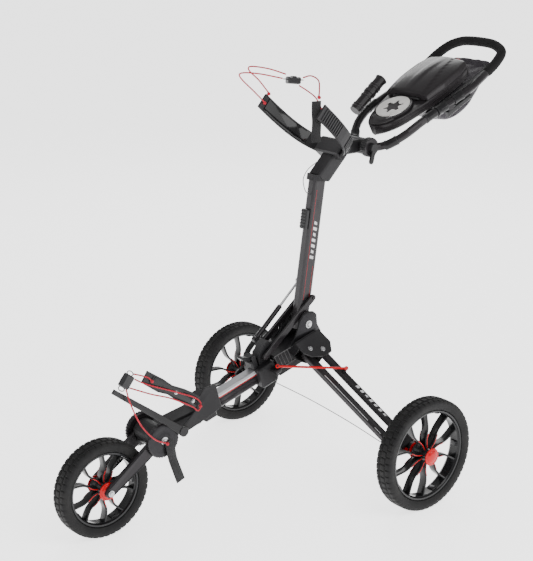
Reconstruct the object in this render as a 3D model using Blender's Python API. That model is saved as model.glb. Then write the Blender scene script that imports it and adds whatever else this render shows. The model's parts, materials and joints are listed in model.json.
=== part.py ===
"""A folding three-wheeled push cart for a golf bag.

The cart frame has X to the cart's right, Y forwards and Z up, with the rear axle line at Y = 0 and the
ground at Z = 0. An empty called cart moves that frame so that the part's origin is the middle of its
footprint. Left pieces are built first and mirrored to the right.
"""

import math

import bmesh
import bpy
from mathutils import Matrix, Vector

# Driving dimensions, in metres.
CENTRE_Y = 0.1316
GAP = 0.0003

TRACK = 0.761
REAR_RADIUS = 0.146
FRONT_RADIUS = 0.1225
FRONT_AXLE = Vector((0.0, 0.708, FRONT_RADIUS))
TYRE_WIDTH = 0.047

TUBE_ORIGIN = Vector((0.0, 0.234, 0.301))
TUBE_PITCH = math.radians(15.96)
TUBE_HALF_WIDTH = 0.017
TUBE_HALF_HEIGHT = 0.020
TUBE_WALL = 0.0024
TUBE_START, TUBE_END = -0.188, 0.205

UPRIGHT_PIVOT = Vector((0.0, 0.088, 0.416))
UPRIGHT_LEAN = math.radians(8.6)
UPRIGHT_LENGTH = 0.373
UPRIGHT_HALF_WIDTH = 0.015
UPRIGHT_HALF_DEPTH = 0.020

CHEEK_INNER, CHEEK_OUTER = 0.0288, 0.0348
ARM_INNER, ARM_OUTER = 0.0175, 0.0255
ARM_TOP = Vector((0.0, 0.062, 0.480))
ARM_FOOT = Vector((0.0, 0.220, 0.352))

STRUT_X = 0.036
STRUT_FOOT = Vector((STRUT_X, 0.2075, 0.381))
STRUT_HEAD = Vector((STRUT_X, 0.0612, 0.5131))
STRUT_BODY = 0.112

LEG_ROOT = Vector((-0.080, 0.082, 0.3515))
LEG_END = Vector((-0.310, 0.005, 0.170))
FRONT_BAR_OFFSET = Vector((0.0187, 0.0360, -0.0071))
ROD_FOOT = Vector((-0.052, 0.205, 0.331))
ROD_REACH = 0.080
ROD_LIFT = 0.024
FOLD_SLIDE = 0.0994
LEG_SWING = math.radians(68.97)
LEG_PIN = 0.004

FORK_PIVOT = Vector((0.0, 0.560, 0.222))
HANDLE_PIVOT = Vector((0.0, -0.110, 0.860))
CONSOLE_ORIGIN = Vector((0.0, -0.231, 0.951))
CONSOLE_PITCH = math.radians(26.6)
BRACKET_ORIGIN = Vector((0.0, -0.020, 0.862))
BRACKET_PITCH = math.radians(41.0)

X_AXIS = Vector((1.0, 0.0, 0.0))
ALONG_TUBE = Vector((0.0, math.cos(TUBE_PITCH), -math.sin(TUBE_PITCH)))
ABOVE_TUBE = Vector((0.0, math.sin(TUBE_PITCH), math.cos(TUBE_PITCH)))
ALONG_UPRIGHT = Vector((0.0, -math.sin(UPRIGHT_LEAN), math.cos(UPRIGHT_LEAN)))


# Shapes. Each is a bmesh in the cart frame.


def frame(origin, x_axis, z_axis):
    """A placement whose X and Z run along the two given directions."""
    x = Vector(x_axis).normalized()
    y = Vector(z_axis).cross(x).normalized()
    z = x.cross(y)
    return Matrix.Translation(origin) @ Matrix((x, y, z)).transposed().to_4x4()


def finished(shape):
    """The shape with every face turned outwards."""
    shape.normal_update()
    bmesh.ops.recalc_face_normals(shape, faces=shape.faces)
    if shape.calc_volume(signed=True) < 0:
        bmesh.ops.reverse_faces(shape, faces=shape.faces)
    return shape


def block(size, placing, bevel=0.0, segments=1):
    """A box of this size about the placement's origin, with rounded edges if bevel is given."""
    shape = bmesh.new()
    bmesh.ops.create_cube(shape, size=1.0)
    bmesh.ops.scale(shape, vec=size, verts=shape.verts)
    if bevel:
        bmesh.ops.bevel(shape, geom=shape.edges[:], offset=bevel, segments=segments, profile=0.5, affect="EDGES")
    shape.transform(placing)
    return finished(shape)


def prism(outline, low, high, placing, bevel=0.0):
    """An outline in the placement's XY plane, extruded from Z = low to Z = high."""
    shape = bmesh.new()
    floor = shape.faces.new([shape.verts.new((x, y, low)) for x, y in outline])
    raised = bmesh.ops.extrude_face_region(shape, geom=[floor])["geom"]
    top = [v for v in raised if isinstance(v, bmesh.types.BMVert)]
    bmesh.ops.translate(shape, verts=top, vec=(0.0, 0.0, high - low))
    if bevel:
        rims = [e for e in shape.edges if abs(e.verts[0].co.z - e.verts[1].co.z) < 1e-6]
        bmesh.ops.bevel(shape, geom=rims, offset=bevel, segments=1, profile=0.5, affect="EDGES")
    shape.transform(placing)
    return finished(shape)


def turned(profile, placing, steps=32):
    """A (radius, height) profile spun about the placement's Z. One that starts and ends on the axis is closed by caps."""
    shape = bmesh.new()
    turns = [2 * math.pi * (i + 0.5) / steps for i in range(steps)]
    rings = [[shape.verts.new((r * math.cos(a), r * math.sin(a), height)) for a in turns] for r, height in profile if r]
    solid = profile[0][0] == 0.0
    pairs = list(zip(rings, rings[1:])) + ([] if solid else [(rings[-1], rings[0])])
    for lower, upper in pairs:
        for i in range(steps):
            j = (i + 1) % steps
            shape.faces.new((lower[i], lower[j], upper[j], upper[i]))
    if solid:
        shape.faces.new(rings[0])
        shape.faces.new(rings[-1])
    shape.transform(placing)
    return finished(shape)


def disc(radius, low, high, placing, steps=24, bevel=0.0):
    """A round pin or disc along the placement's Z."""
    if not bevel:
        return turned([(0.0, low), (radius, low), (radius, high), (0.0, high)], placing, steps)
    b = bevel
    profile = [(0.0, low), (radius - b, low), (radius, low + b), (radius, high - b), (radius - b, high), (0.0, high)]
    return turned(profile, placing, steps)


def ring(inner, outer, low, high, placing, steps=32):
    return turned([(inner, low), (outer, low), (outer, high), (inner, high)], placing, steps)


def rounded_section(half_x, half_y, radius, corner_steps=3):
    """A rectangle with round corners, as a list of points."""
    points = []
    for quarter, (sx, sy) in enumerate(((1, 1), (-1, 1), (-1, -1), (1, -1))):
        for i in range(corner_steps + 1):
            a = (quarter + i / corner_steps) * math.pi / 2
            points.append((sx * (half_x - radius) + radius * math.cos(a), sy * (half_y - radius) + radius * math.sin(a)))
    return points


def stadium(start, end, radius, steps=6):
    """The outline of a bar with round ends between two points of a plane."""
    heading = math.atan2(end[1] - start[1], end[0] - start[0])
    points = []
    for centre, turn in ((end, heading - math.pi / 2), (start, heading + math.pi / 2)):
        for i in range(steps + 1):
            a = turn + math.pi * i / steps
            points.append((centre[0] + radius * math.cos(a), centre[1] + radius * math.sin(a)))
    return points


def circle_section(radius, sides=12):
    return [(radius * math.cos(2 * math.pi * i / sides), radius * math.sin(2 * math.pi * i / sides)) for i in range(sides)]


def swept(path, section, flat_axis):
    """A section carried along a path. The section's Y stays as near as it can to flat_axis."""
    path = [Vector(p) for p in path]
    flat_axis = Vector(flat_axis)
    shape = bmesh.new()
    rings = []
    for i, point in enumerate(path):
        heading = (path[min(i + 1, len(path) - 1)] - path[max(i - 1, 0)]).normalized()
        side = flat_axis.cross(heading).normalized()
        up = heading.cross(side)
        rings.append([shape.verts.new(point + side * x + up * y) for x, y in section])
    count = len(section)
    for before, after in zip(rings, rings[1:]):
        for i in range(count):
            j = (i + 1) % count
            shape.faces.new((before[i], before[j], after[j], after[i]))
    shape.faces.new(rings[0])
    shape.faces.new(rings[-1])
    return finished(shape)


def smooth_path(points, spacing):
    """Points at an even spacing on a smooth curve through the given ones."""
    points = [Vector(p) for p in points]
    ends = [2 * points[0] - points[1], *points, 2 * points[-1] - points[-2]]
    fine = []
    for a, b, c, d in zip(ends, ends[1:], ends[2:], ends[3:]):
        for i in range(24):
            t = i / 24
            fine.append(0.5 * (2 * b + (c - a) * t + (2 * a - 5 * b + 4 * c - d) * t**2 + (3 * b - a - 3 * c + d) * t**3))
    fine.append(points[-1])
    length = sum((q - p).length for p, q in zip(fine, fine[1:]))
    steps = max(2, round(length / spacing))
    even, walked, goal = [fine[0]], 0.0, length / steps
    for p, q in zip(fine, fine[1:]):
        span = (q - p).length
        while span and walked + span >= goal * len(even) and len(even) < steps:
            even.append(p.lerp(q, (goal * len(even) - walked) / span))
        walked += span
    return even + [fine[-1]]


def mirrored(shape):
    """The same shape on the cart's other side."""
    copy = shape.copy()
    bmesh.ops.scale(copy, vec=(-1.0, 1.0, 1.0), verts=copy.verts)
    return finished(copy)


def hidden_object(shape):
    mesh = bpy.data.meshes.new("tool")
    shape.to_mesh(mesh)
    shape.free()
    tool = bpy.data.objects.new("tool", mesh)
    tool.hide_render = True
    tool.display_type = "WIRE"
    bpy.context.scene.collection.objects.link(tool)
    return tool


def combined(operation, base, tools):
    """The base joined with, or cut by, each tool in turn."""
    objects = [hidden_object(shape) for shape in (base, *tools)]
    for tool in objects[1:]:
        change = objects[0].modifiers.new(operation, "BOOLEAN")
        change.operation = operation
        change.object = tool
    bpy.context.view_layer.update()
    result = bmesh.new()
    result.from_object(objects[0], bpy.context.evaluated_depsgraph_get())
    for tool in objects:
        mesh = tool.data
        bpy.data.objects.remove(tool)
        bpy.data.meshes.remove(mesh)
    return result


def joined(base, *tools):
    return combined("UNION", base, tools)


def cut(base, *tools):
    return combined("DIFFERENCE", base, tools)


# Nodes.


def material(name, colour, roughness, metallic=0.0):
    made = bpy.data.materials.new(name)
    made.use_nodes = True
    shader = made.node_tree.nodes["Principled BSDF"]
    shader.inputs["Base Color"].default_value = (*colour, 1.0)
    shader.inputs["Roughness"].default_value = roughness
    shader.inputs["Metallic"].default_value = metallic
    made.diffuse_color = (*colour, 1.0)
    return made


def node(name, shape, colour, pivot=(0.0, 0.0, 0.0)):
    """One piece of the cart, with its origin at its joint's pivot."""
    pivot = Vector(pivot)
    bmesh.ops.translate(shape, verts=shape.verts, vec=-pivot)
    mesh = bpy.data.meshes.new(name)
    shape.to_mesh(mesh)
    shape.free()
    mesh.materials.append(MATERIALS[colour])
    mesh.shade_smooth()
    mesh.set_sharp_from_angle(angle=math.radians(35))
    piece = bpy.data.objects.new(name, mesh)
    piece.location = pivot
    piece.parent = CART
    bpy.context.scene.collection.objects.link(piece)
    return piece


def both_sides(name, build, colour, pivot=(0.0, 0.0, 0.0)):
    """A left piece and its mirror image."""
    left = build()
    right = mirrored(left)
    node(f"{name}_left", left, colour, pivot)
    node(f"{name}_right", right, colour, (-pivot[0], pivot[1], pivot[2]))


def across(point):
    """A placement at a point with its Z along the cart's X."""
    return frame(point, (0.0, 1.0, 0.0), X_AXIS)


def on_tube(s, h=0.0, x=0.0):
    """The point s along the lower tube and h above its centreline."""
    return TUBE_ORIGIN + ALONG_TUBE * s + ABOVE_TUBE * h + X_AXIS * x


def tube_frame(s, h=0.0, x=0.0):
    """X along the tube, Y to the cart's left, Z above the tube."""
    return frame(on_tube(s, h, x), ALONG_TUBE, ABOVE_TUBE)


def on_upright(z, y=0.0, x=0.0):
    """The point z up the upright from its pivot and y forward of its centreline."""
    forward = Vector((0.0, math.cos(UPRIGHT_LEAN), math.sin(UPRIGHT_LEAN)))
    return UPRIGHT_PIVOT + ALONG_UPRIGHT * z + forward * y + X_AXIS * x


def upright_frame(z, y=0.0, x=0.0):
    """X to the cart's right, Y forward, Z up the upright."""
    return frame(on_upright(z, y, x), X_AXIS, ALONG_UPRIGHT)


CONSOLE_BACK = Vector((0.0, -math.cos(CONSOLE_PITCH), math.sin(CONSOLE_PITCH)))
CONSOLE_UP = Vector((0.0, math.sin(CONSOLE_PITCH), math.cos(CONSOLE_PITCH)))
CONSOLE = frame(CONSOLE_ORIGIN, CONSOLE_BACK, CONSOLE_UP)
BRACKET_OUT = Vector((0.0, math.cos(BRACKET_PITCH), math.sin(BRACKET_PITCH)))
BRACKET_UP = Vector((0.0, -math.sin(BRACKET_PITCH), math.cos(BRACKET_PITCH)))
BRACKET = frame(BRACKET_ORIGIN, X_AXIS, BRACKET_UP)
LEG_HEADING = (LEG_END - LEG_ROOT).normalized()
LEG_LENGTH = (LEG_END - LEG_ROOT).length
LEG_NORMAL = Vector((LEG_HEADING.z, 0.0, -LEG_HEADING.x)).normalized()
LEG = frame(LEG_ROOT, LEG_HEADING, LEG_NORMAL)
FRONT_BAR_ROOT = LEG_ROOT + FRONT_BAR_OFFSET
ROD_HEAD = LEG_ROOT + LEG_HEADING * ROD_REACH + LEG_NORMAL * ROD_LIFT
FOLDED_LEG = Matrix.Rotation(LEG_SWING, 3, -LEG_NORMAL) @ (ROD_HEAD - LEG_ROOT)
ROD_AXIS = (ROD_HEAD - ROD_FOOT).cross(LEG_ROOT + FOLDED_LEG - ROD_FOOT - ALONG_TUBE * FOLD_SLIDE).normalized()
FRONT_BAR_LOCAL = LEG.inverted() @ FRONT_BAR_ROOT


# Main frame.


def bolt(radius, half_length, head_radius, head_height, placing, head_gap=GAP):
    """A through bolt along the placement's Z with a flat head at each end."""
    reach = half_length + head_gap
    tip = reach + head_height
    profile = [(0.0, -tip), (head_radius, -tip), (head_radius, -reach), (radius, -reach)]
    profile += [(r, -z) for r, z in reversed(profile)]
    return turned(profile, placing, 20)


def tube_section(half_width, half_height, groove):
    """A rounded rectangle with two shallow grooves along each side."""
    points = rounded_section(half_width, half_height, 0.007)
    grooved = []
    for i, point in enumerate(points):
        grooved.append(point)
        following = points[(i + 1) % len(points)]
        if abs(point[0] - following[0]) < 1e-6:
            up = 1 if following[1] > point[1] else -1
            for centre in (-0.005 * up, 0.005 * up):
                for y, depth in ((-0.0015, 0), (-0.0008, groove), (0.0008, groove), (0.0015, 0)):
                    grooved.append((point[0] - math.copysign(depth, point[0]), centre + y * up))
    return grooved


def lower_tube():
    placing = frame(on_tube(0.0, 0.0), X_AXIS, ALONG_TUBE)
    outer = prism(tube_section(TUBE_HALF_WIDTH, TUBE_HALF_HEIGHT, 0.001), TUBE_START, TUBE_END, placing)
    bore = rounded_section(TUBE_HALF_WIDTH - TUBE_WALL, TUBE_HALF_HEIGHT - TUBE_WALL, 0.005)
    return cut(outer, prism(bore, TUBE_START - 0.01, TUBE_END + 0.01, placing))


def tube_sleeve(half_width, low, high, start, end, clearance):
    """A block around the lower tube, with the tube's bore through it."""
    middle = (low + high) / 2
    size = (end - start, 2 * half_width, high - low)
    outer = block(size, tube_frame((start + end) / 2, middle), 0.004)
    bore = rounded_section(TUBE_HALF_WIDTH + clearance, TUBE_HALF_HEIGHT + clearance, 0.006)
    placing = frame(on_tube(0.0, 0.0), X_AXIS, ALONG_TUBE)
    return cut(outer, prism(bore, start - 0.01, end + 0.01, placing))


CHEEK_OUTLINE = (
    (0.1865, 0.309), (0.1955, 0.340), (0.205, 0.3485), (0.170, 0.357), (0.146, 0.370), (0.130, 0.388), (0.121, 0.410), (0.115, 0.430),
    (0.103, 0.445), (0.087, 0.450), (0.070, 0.447), (0.059, 0.438), (0.056, 0.410), (0.044, 0.390), (0.036, 0.352),
)


def hub_housing():
    """The casting around the tube's rear half, with two cheeks that carry the upright's pivot."""
    core = block((0.153, 0.059, 0.057), tube_frame(-0.1285, 0.0015), 0.004)
    bore = rounded_section(TUBE_HALF_WIDTH + GAP, TUBE_HALF_HEIGHT + GAP, 0.006)
    tube_space = prism(bore, TUBE_START - 0.0005, TUBE_END, frame(on_tube(0.0, 0.0), X_AXIS, ALONG_TUBE))
    placing = frame((0.0, 0.0, 0.0), (0.0, 1.0, 0.0), X_AXIS)
    left = prism(CHEEK_OUTLINE, -CHEEK_OUTER, -CHEEK_INNER, placing, 0.0008)
    right = mirrored(left)
    shape = cut(joined(core, left, right), tube_space)
    return cut(shape, disc(0.0063, -0.1, 0.1, across(UPRIGHT_PIVOT)))


def leg_bracket():
    """The left clevis that holds both leg bars between an upper cover plate and a lower plate."""
    cover = ((-0.050, -0.058), (-0.018, -0.060), (0.002, -0.046), (0.020, -0.008), (0.018, 0.018), (-0.006, 0.040), (-0.050, 0.040))
    shelf = ((-0.050, -0.056), (-0.022, -0.056), (-0.004, -0.042), (0.014, -0.004), (0.010, 0.014), (-0.050, 0.030))
    web = block((0.020, 0.086, 0.040), LEG @ Matrix.Translation((-0.0455, -0.013, -0.0095)), 0.001)
    shape = joined(web, prism(cover, 0.0079, 0.0119, LEG, 0.0008), prism(shelf, -0.0298, -0.0258, LEG, 0.0008))
    hub_side = block((0.1, 0.4, 0.3), Matrix.Translation((0.05 - CHEEK_OUTER - GAP, 0.1, 0.35)))
    return joined(cut(shape, hub_side), *leg_pins(0.0))


def leg_pins(x):
    """The two pins that a leg's bars turn on, at the root for x = 0 or at the wheel end."""
    spots = ((x, 0.0), (x + FRONT_BAR_LOCAL.x, FRONT_BAR_LOCAL.y))
    return [disc(LEG_PIN, -0.0290, 0.0110, LEG @ Matrix.Translation((*spot, 0.0)), 14) for spot in spots]


def leg_bar(half_width, local):
    """A leg bar from its root pin to its wheel-end pin, in its own layer."""
    x, y, z = local
    bar = prism(stadium((x, y), (x + LEG_LENGTH, y), half_width), z - 0.0075, z + 0.0075, LEG, 0.002)
    pins = [disc(LEG_PIN + GAP, -0.05, 0.03, LEG @ Matrix.Translation((at, y, 0.0)), 14) for at in (x, x + LEG_LENGTH)]
    return cut(bar, *pins)


def rear_bar():
    stud = disc(0.005, 0.0065, 0.0160, LEG @ Matrix.Translation((ROD_REACH, 0.0, 0.0)), 14)
    return joined(leg_bar(0.009, (0.0, 0.0, 0.0)), stud)


def front_bar():
    return leg_bar(0.012, FRONT_BAR_LOCAL)


WHEEL_CENTRE = Vector((-TRACK / 2, 0.0, REAR_RADIUS))


def knuckle():
    """The left wheel carrier: a clevis on the leg's two bars, with the stub axle."""
    outline = ((0.293, 0.0128), (0.327, 0.0128), (0.327, -0.044), (0.280, -0.0455), (0.271, -0.036), (0.272, -0.024))
    web = block((0.012, 0.0552, 0.0406), LEG @ Matrix.Translation((0.3225, -0.0158, -0.0090)), 0.001)
    shape = joined(web, prism(outline, 0.0079, 0.0119, LEG, 0.0008), prism(outline, -0.0298, -0.0258, LEG, 0.0008))
    boss = disc(0.018, -0.0570, -0.0320, frame(WHEEL_CENTRE, (0.0, 1.0, 0.0), (-1.0, 0.0, 0.0)), 24, 0.001)
    axle = disc(0.006, -0.0500, 0.0318, frame(WHEEL_CENTRE, (0.0, 1.0, 0.0), (-1.0, 0.0, 0.0)), 16)
    button_bore = disc(0.0063, 0.0110, 0.05, frame(RELEASE_FOOT, X_AXIS, (0.0, 1.0, 0.0)), 16)
    return joined(cut(joined(shape, boss), button_bore), axle, *leg_pins(LEG_LENGTH))


RELEASE_FOOT = Vector((-TRACK / 2 + 0.0430, 0.0, REAR_RADIUS))


def wheel_release():
    """The push button on the left wheel carrier that frees the wheel."""
    return disc(0.006, 0.0145, 0.0300, frame(RELEASE_FOOT, X_AXIS, (0.0, 1.0, 0.0)), 16, 0.001)


def fork_yoke():
    """The casting on the lower tube's front end that carries the fork's pivot."""
    plug = block((0.026, 0.0284, 0.0344), tube_frame(TUBE_END - 0.008), 0.004)
    heading = (FORK_PIVOT - on_tube(TUBE_END)).normalized()
    neck = block((0.140, 0.056, 0.042), frame(FORK_PIVOT - heading * 0.065, heading, X_AXIS.cross(heading)), 0.005)
    ahead = block((0.2, 0.1, 0.2), tube_frame(TUBE_END + GAP + 0.1))
    barrel = disc(0.030, -0.0395, 0.0395, across(FORK_PIVOT), 28, 0.002)
    return cut(joined(combined("INTERSECT", neck, [ahead]), plug, barrel), disc(0.0063, -0.1, 0.1, across(FORK_PIVOT)))


SIDE_ARM_X = -0.062
SIDE_ARM_ROOT = Vector((0.0, 0.489, 0.315))
SIDE_ARM_TIP = Vector((0.0, 0.6187, 0.4026))
REST_ROOT = Vector((0.0, 0.5097, 0.2366))
REST_TIP = Vector((0.0, 0.7057, 0.3876))


def side_plane(origin, along):
    """A placement in the cart's centre plane, with Y above the given direction and Z along X."""
    return frame(origin, along, X_AXIS)


def lower_bracket_base():
    """The saddle over the lower tube, with a side fin for the bag's side arm and base rest."""
    saddle = tube_sleeve(0.030, -0.026, 0.030, 0.158, 0.196, GAP)
    beam = block((0.038, 0.089, 0.012), tube_frame(0.177, 0.0325, -0.0145), 0.002)
    outline = ((0.158, 0.012), (0.200, 0.006), (0.272, 0.004), (0.288, 0.010), (0.286, 0.022), (0.262, 0.030),
               (0.232, 0.044), (0.212, 0.072), (0.190, 0.086), (0.158, 0.078))
    fin = prism(outline, SIDE_ARM_X + 0.0030, SIDE_ARM_X + 0.0070, side_plane(on_tube(0.0, 0.0), ALONG_TUBE), 0.0008)
    return joined(saddle, beam, fin)


def side_arm():
    """The padded arm that steadies the bag's lower end, waisted between its root and its tip."""
    along = SIDE_ARM_TIP - SIDE_ARM_ROOT
    length = along.length
    placing = side_plane(SIDE_ARM_ROOT, along)
    outline = (
        (-0.026, -0.014), (0.004, -0.018), (0.030, -0.017), (0.070, -0.013), (0.100, -0.018), (length, -0.015),
        (length, 0.017), (0.104, 0.016), (0.068, 0.012), (0.030, 0.017), (0.004, 0.018), (-0.026, 0.016),
    )
    plate = prism(outline, SIDE_ARM_X - 0.0025, SIDE_ARM_X + 0.0025, placing, 0.0008)
    slots = [block((0.004, 0.010, 0.02), placing @ Matrix.Translation((length - 0.022, y, SIDE_ARM_X))) for y in (-0.008, 0.007)]
    return cut(plate, *slots)


def base_rest():
    """The bar that the bag's base stands on, bolted to the bracket's side fin."""
    along = REST_TIP - REST_ROOT
    placing = side_plane(REST_ROOT, along)
    outline = ((0.0, -0.012), (0.060, -0.008), (along.length, -0.006), (along.length, 0.006), (0.060, 0.009), (0.0, 0.010))
    bar = prism(outline, SIDE_ARM_X - 0.0045, SIDE_ARM_X + 0.0025, placing, 0.001)
    return joined(bar, disc(0.013, SIDE_ARM_X - 0.0065, SIDE_ARM_X + 0.0025, placing, 20, 0.001))


# Fork and front wheel.


def fork_arm():
    """The left fork arm, with its large pivot disc."""
    reach = FRONT_AXLE - FORK_PIVOT
    placing = frame(FORK_PIVOT, reach, (-1.0, 0.0, 0.0))
    length = reach.length
    blade = ((0.0, -0.019), (length * 0.5, -0.016), (length, -0.013), (length + 0.011, -0.007), (length + 0.013, 0.0),
             (length + 0.011, 0.007), (length, 0.013), (length * 0.5, 0.016), (0.0, 0.019))
    arm = prism(blade, 0.0300, 0.0420, placing, 0.002)
    hub = disc(0.044, 0.0405, 0.0530, placing, 32, 0.003)
    pocket = disc(0.0310, -0.01, 0.0400, placing, 28)
    axle_bore = disc(0.0045, -0.01, 0.1, placing @ Matrix.Translation((length, 0.0, 0.0)), 16)
    return cut(cut(joined(hub, arm), pocket), disc(0.0063, -0.01, 0.1, placing), axle_bore)


def tyre(radius, width):
    """A tyre turned about Z, with a stepped shoulder and a flat bead seat."""
    half = width / 2
    inner = radius - 0.028
    profile = [
        (inner, -half * 0.74), (inner + 0.004, -half * 0.86), (radius - 0.012, -half), (radius - 0.0034, -half * 0.96),
        (radius, -half * 0.72), (radius, half * 0.72), (radius - 0.0034, half * 0.96), (radius - 0.012, half),
        (inner + 0.004, half * 0.86), (inner, half * 0.74),
    ]
    return turned(profile, Matrix.Identity(4), 48)


def rim(radius, bore):
    """A one-piece rim: a channel ring, a hub and five pairs of bent blade spokes."""
    outer = radius - 0.028 - GAP
    channel = ring(outer - 0.006, outer, -0.0172, 0.0172, Matrix.Identity(4), 48)
    hub = ring(bore, 0.019, -0.0265, 0.0265, Matrix.Identity(4), 20)
    blades = bmesh.new()
    for pair in range(5):
        for side in (-1, 1):
            turn = Matrix.Rotation(2 * math.pi * pair / 5, 4, "Z")
            path = [(x * outer, side * y) for x, y in ((0.10, 0.004), (0.34, 0.010), (0.57, 0.024))]
            path.append((math.sqrt((outer - 0.002) ** 2 - 0.0307**2), side * 0.0275))
            outline = [(x, y - 0.0032) for x, y in path] + [(x, y + 0.0032) for x, y in reversed(path)]
            blade = prism(outline, -0.0135, 0.0135, turn)
            mesh = bpy.data.meshes.new("blade")
            blade.to_mesh(mesh)
            blade.free()
            blades.from_mesh(mesh)
            bpy.data.meshes.remove(mesh)
    return joined(joined(channel, blades), hub)


def wheel(name, centre, radius, bore):
    """A wheel's tyre and rim, spinning about X."""
    placing = across(centre)
    for piece, shape, colour in (("tyre", tyre(radius, TYRE_WIDTH), "tyre"), ("rim", rim(radius, bore), "rim")):
        shape.transform(placing)
        node(f"{name}_{piece}", shape, colour, centre)


# Collar, upright and links.


LATCH_PIVOT = on_tube(0.004, 0.0555)


def slider_collar():
    """The sleeve that runs along the lower tube and drives the legs."""
    sleeve = tube_sleeve(0.0345, -0.029, 0.027, -0.044, 0.010, 0.0006)
    lug = prism(((-0.044, 0.0215), (-0.006, 0.0215), (-0.010, 0.048), (-0.036, 0.077), (-0.052, 0.078), (-0.058, 0.066)),
                -0.0140, 0.0140, side_plane(on_tube(0.0, 0.0), ALONG_TUBE), 0.0008)
    strut_lug = prism(((-0.0425, 0.018), (-0.028, 0.018), (-0.030, 0.030), (-0.0405, 0.0700), (-0.0475, 0.0770),
                       (-0.0545, 0.0700), (-0.0540, 0.060), (-0.0430, 0.030)),
                      0.0262, 0.0285, side_plane(on_tube(0.0, 0.0), ALONG_TUBE))
    strut_boss = disc(0.005, 0.0270, 0.0291, across((0.0, STRUT_FOOT.y, STRUT_FOOT.z)), 14)
    brow = block((0.020, 0.033, 0.024), tube_frame(0.006, 0.036), 0.004)
    shape = joined(sleeve, lug, brow, strut_lug, strut_boss)
    for side in (-1, 1):
        ear = block((0.018, 0.026, 0.010), tube_frame(-0.034, 0.0080, side * 0.045), 0.002)
        post = block((0.012, 0.0045, 0.030), tube_frame(0.004, 0.045, side * 0.0139), 0.001)
        shape = joined(shape, ear, post)
    rod_pin = disc(0.0025, -0.0150, 0.0050, frame(ROD_FOOT, ROD_AXIS.cross(X_AXIS), ROD_AXIS), 12)
    latch_pin = disc(0.003, -0.0120, 0.0120, across(LATCH_PIVOT), 12)
    return joined(shape, rod_pin, mirrored(rod_pin), latch_pin)


def link_arms():
    """The two links from the upright's rear edge to the collar, joined by their upper pin."""
    placing = frame(ARM_TOP, ARM_FOOT - ARM_TOP, X_AXIS)
    length = (ARM_FOOT - ARM_TOP).length
    left = prism(stadium((0.0, 0.0), (length, 0.0), 0.008), -ARM_OUTER, -ARM_INNER, placing, 0.001)
    right = mirrored(left)
    pin = disc(0.004, -ARM_OUTER - 0.0025, ARM_OUTER + 0.0025, placing, 16)
    return joined(pin, left, right)


def strut_frame():
    return frame(STRUT_FOOT, X_AXIS, STRUT_HEAD - STRUT_FOOT)


def strut_cylinder():
    """The gas strut's barrel, with its foot eye on the collar's pin."""
    barrel = disc(0.0065, 0.004, STRUT_BODY, strut_frame(), 18, 0.001)
    eye = disc(0.0085, -0.0065, 0.0065, across(STRUT_FOOT), 18, 0.001)
    return cut(joined(barrel, eye), disc(0.0040, 0.012, STRUT_BODY + 0.01, strut_frame(), 14))


def strut_rod():
    length = (STRUT_HEAD - STRUT_FOOT).length
    rod = disc(0.0034, length - 0.130, length, strut_frame(), 14)
    return joined(rod, disc(0.0080, -0.0060, 0.0060, across(STRUT_HEAD), 18, 0.001))


def link_rod():
    """The left red rod, from the collar's ear to above the rear leg bar."""
    along = ROD_HEAD - ROD_FOOT
    placing = frame(ROD_FOOT, along, ROD_AXIS)
    rod = disc(0.003, 0.0025, along.length, frame(ROD_FOOT, ROD_AXIS.cross(along), along), 10)
    ends = [disc(0.0055, -0.0035, 0.0035, placing @ Matrix.Translation((x, 0.0, 0.0)), 14, 0.001) for x in (0.0, along.length)]
    return cut(joined(rod, *ends), disc(0.0028, -0.01, 0.01, placing, 12))


def upright_tube():
    placing = upright_frame(0.0)
    outer = prism(rounded_section(UPRIGHT_HALF_WIDTH, UPRIGHT_HALF_DEPTH, 0.008), -0.018, UPRIGHT_LENGTH, placing)
    bore = prism(rounded_section(UPRIGHT_HALF_WIDTH - 0.0022, UPRIGHT_HALF_DEPTH - 0.0022, 0.006), -0.03, UPRIGHT_LENGTH + 0.01, placing)
    pins = [disc(0.0063, -0.1, 0.1, across(UPRIGHT_PIVOT)), disc(0.0043, -0.1, 0.1, across(ARM_TOP))]
    stud = joined(disc(0.0035, 0.0140, 0.0288, across((0.0, STRUT_HEAD.y, STRUT_HEAD.z)), 14),
                  disc(0.0070, 0.0140, 0.0170, across((0.0, STRUT_HEAD.y, STRUT_HEAD.z)), 16))
    return joined(cut(outer, bore, *pins), stud)


def fold_bumper():
    """The rubber stop on the upright's front face."""
    size = (0.022, 0.012, 0.052)
    return block(size, upright_frame(0.272, UPRIGHT_HALF_DEPTH + GAP + 0.006), 0.003, 2)


NECK_FOOT = on_upright(UPRIGHT_LENGTH + GAP)
NECK_HEAD = Vector((0.0, -0.027, 0.845))


def neck_tube():
    """The leaning neck on top of the upright, with a spigot inside the upright tube."""
    along = (NECK_HEAD - NECK_FOOT).normalized()
    stem = prism(rounded_section(0.0215, 0.0235, 0.010), 0.0, (NECK_HEAD - NECK_FOOT).length, frame(NECK_FOOT + along * 0.004, X_AXIS, along))
    seat = prism(rounded_section(0.020, 0.0250, 0.010), GAP, 0.016, upright_frame(UPRIGHT_LENGTH))
    spigot = prism(rounded_section(0.0124, 0.0174, 0.005), -0.030, 0.010, upright_frame(UPRIGHT_LENGTH))
    above = block((0.2, 0.2, 0.2), upright_frame(UPRIGHT_LENGTH + 0.1 + GAP))
    return joined(combined("INTERSECT", stem, [above]), seat, spigot)


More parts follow.
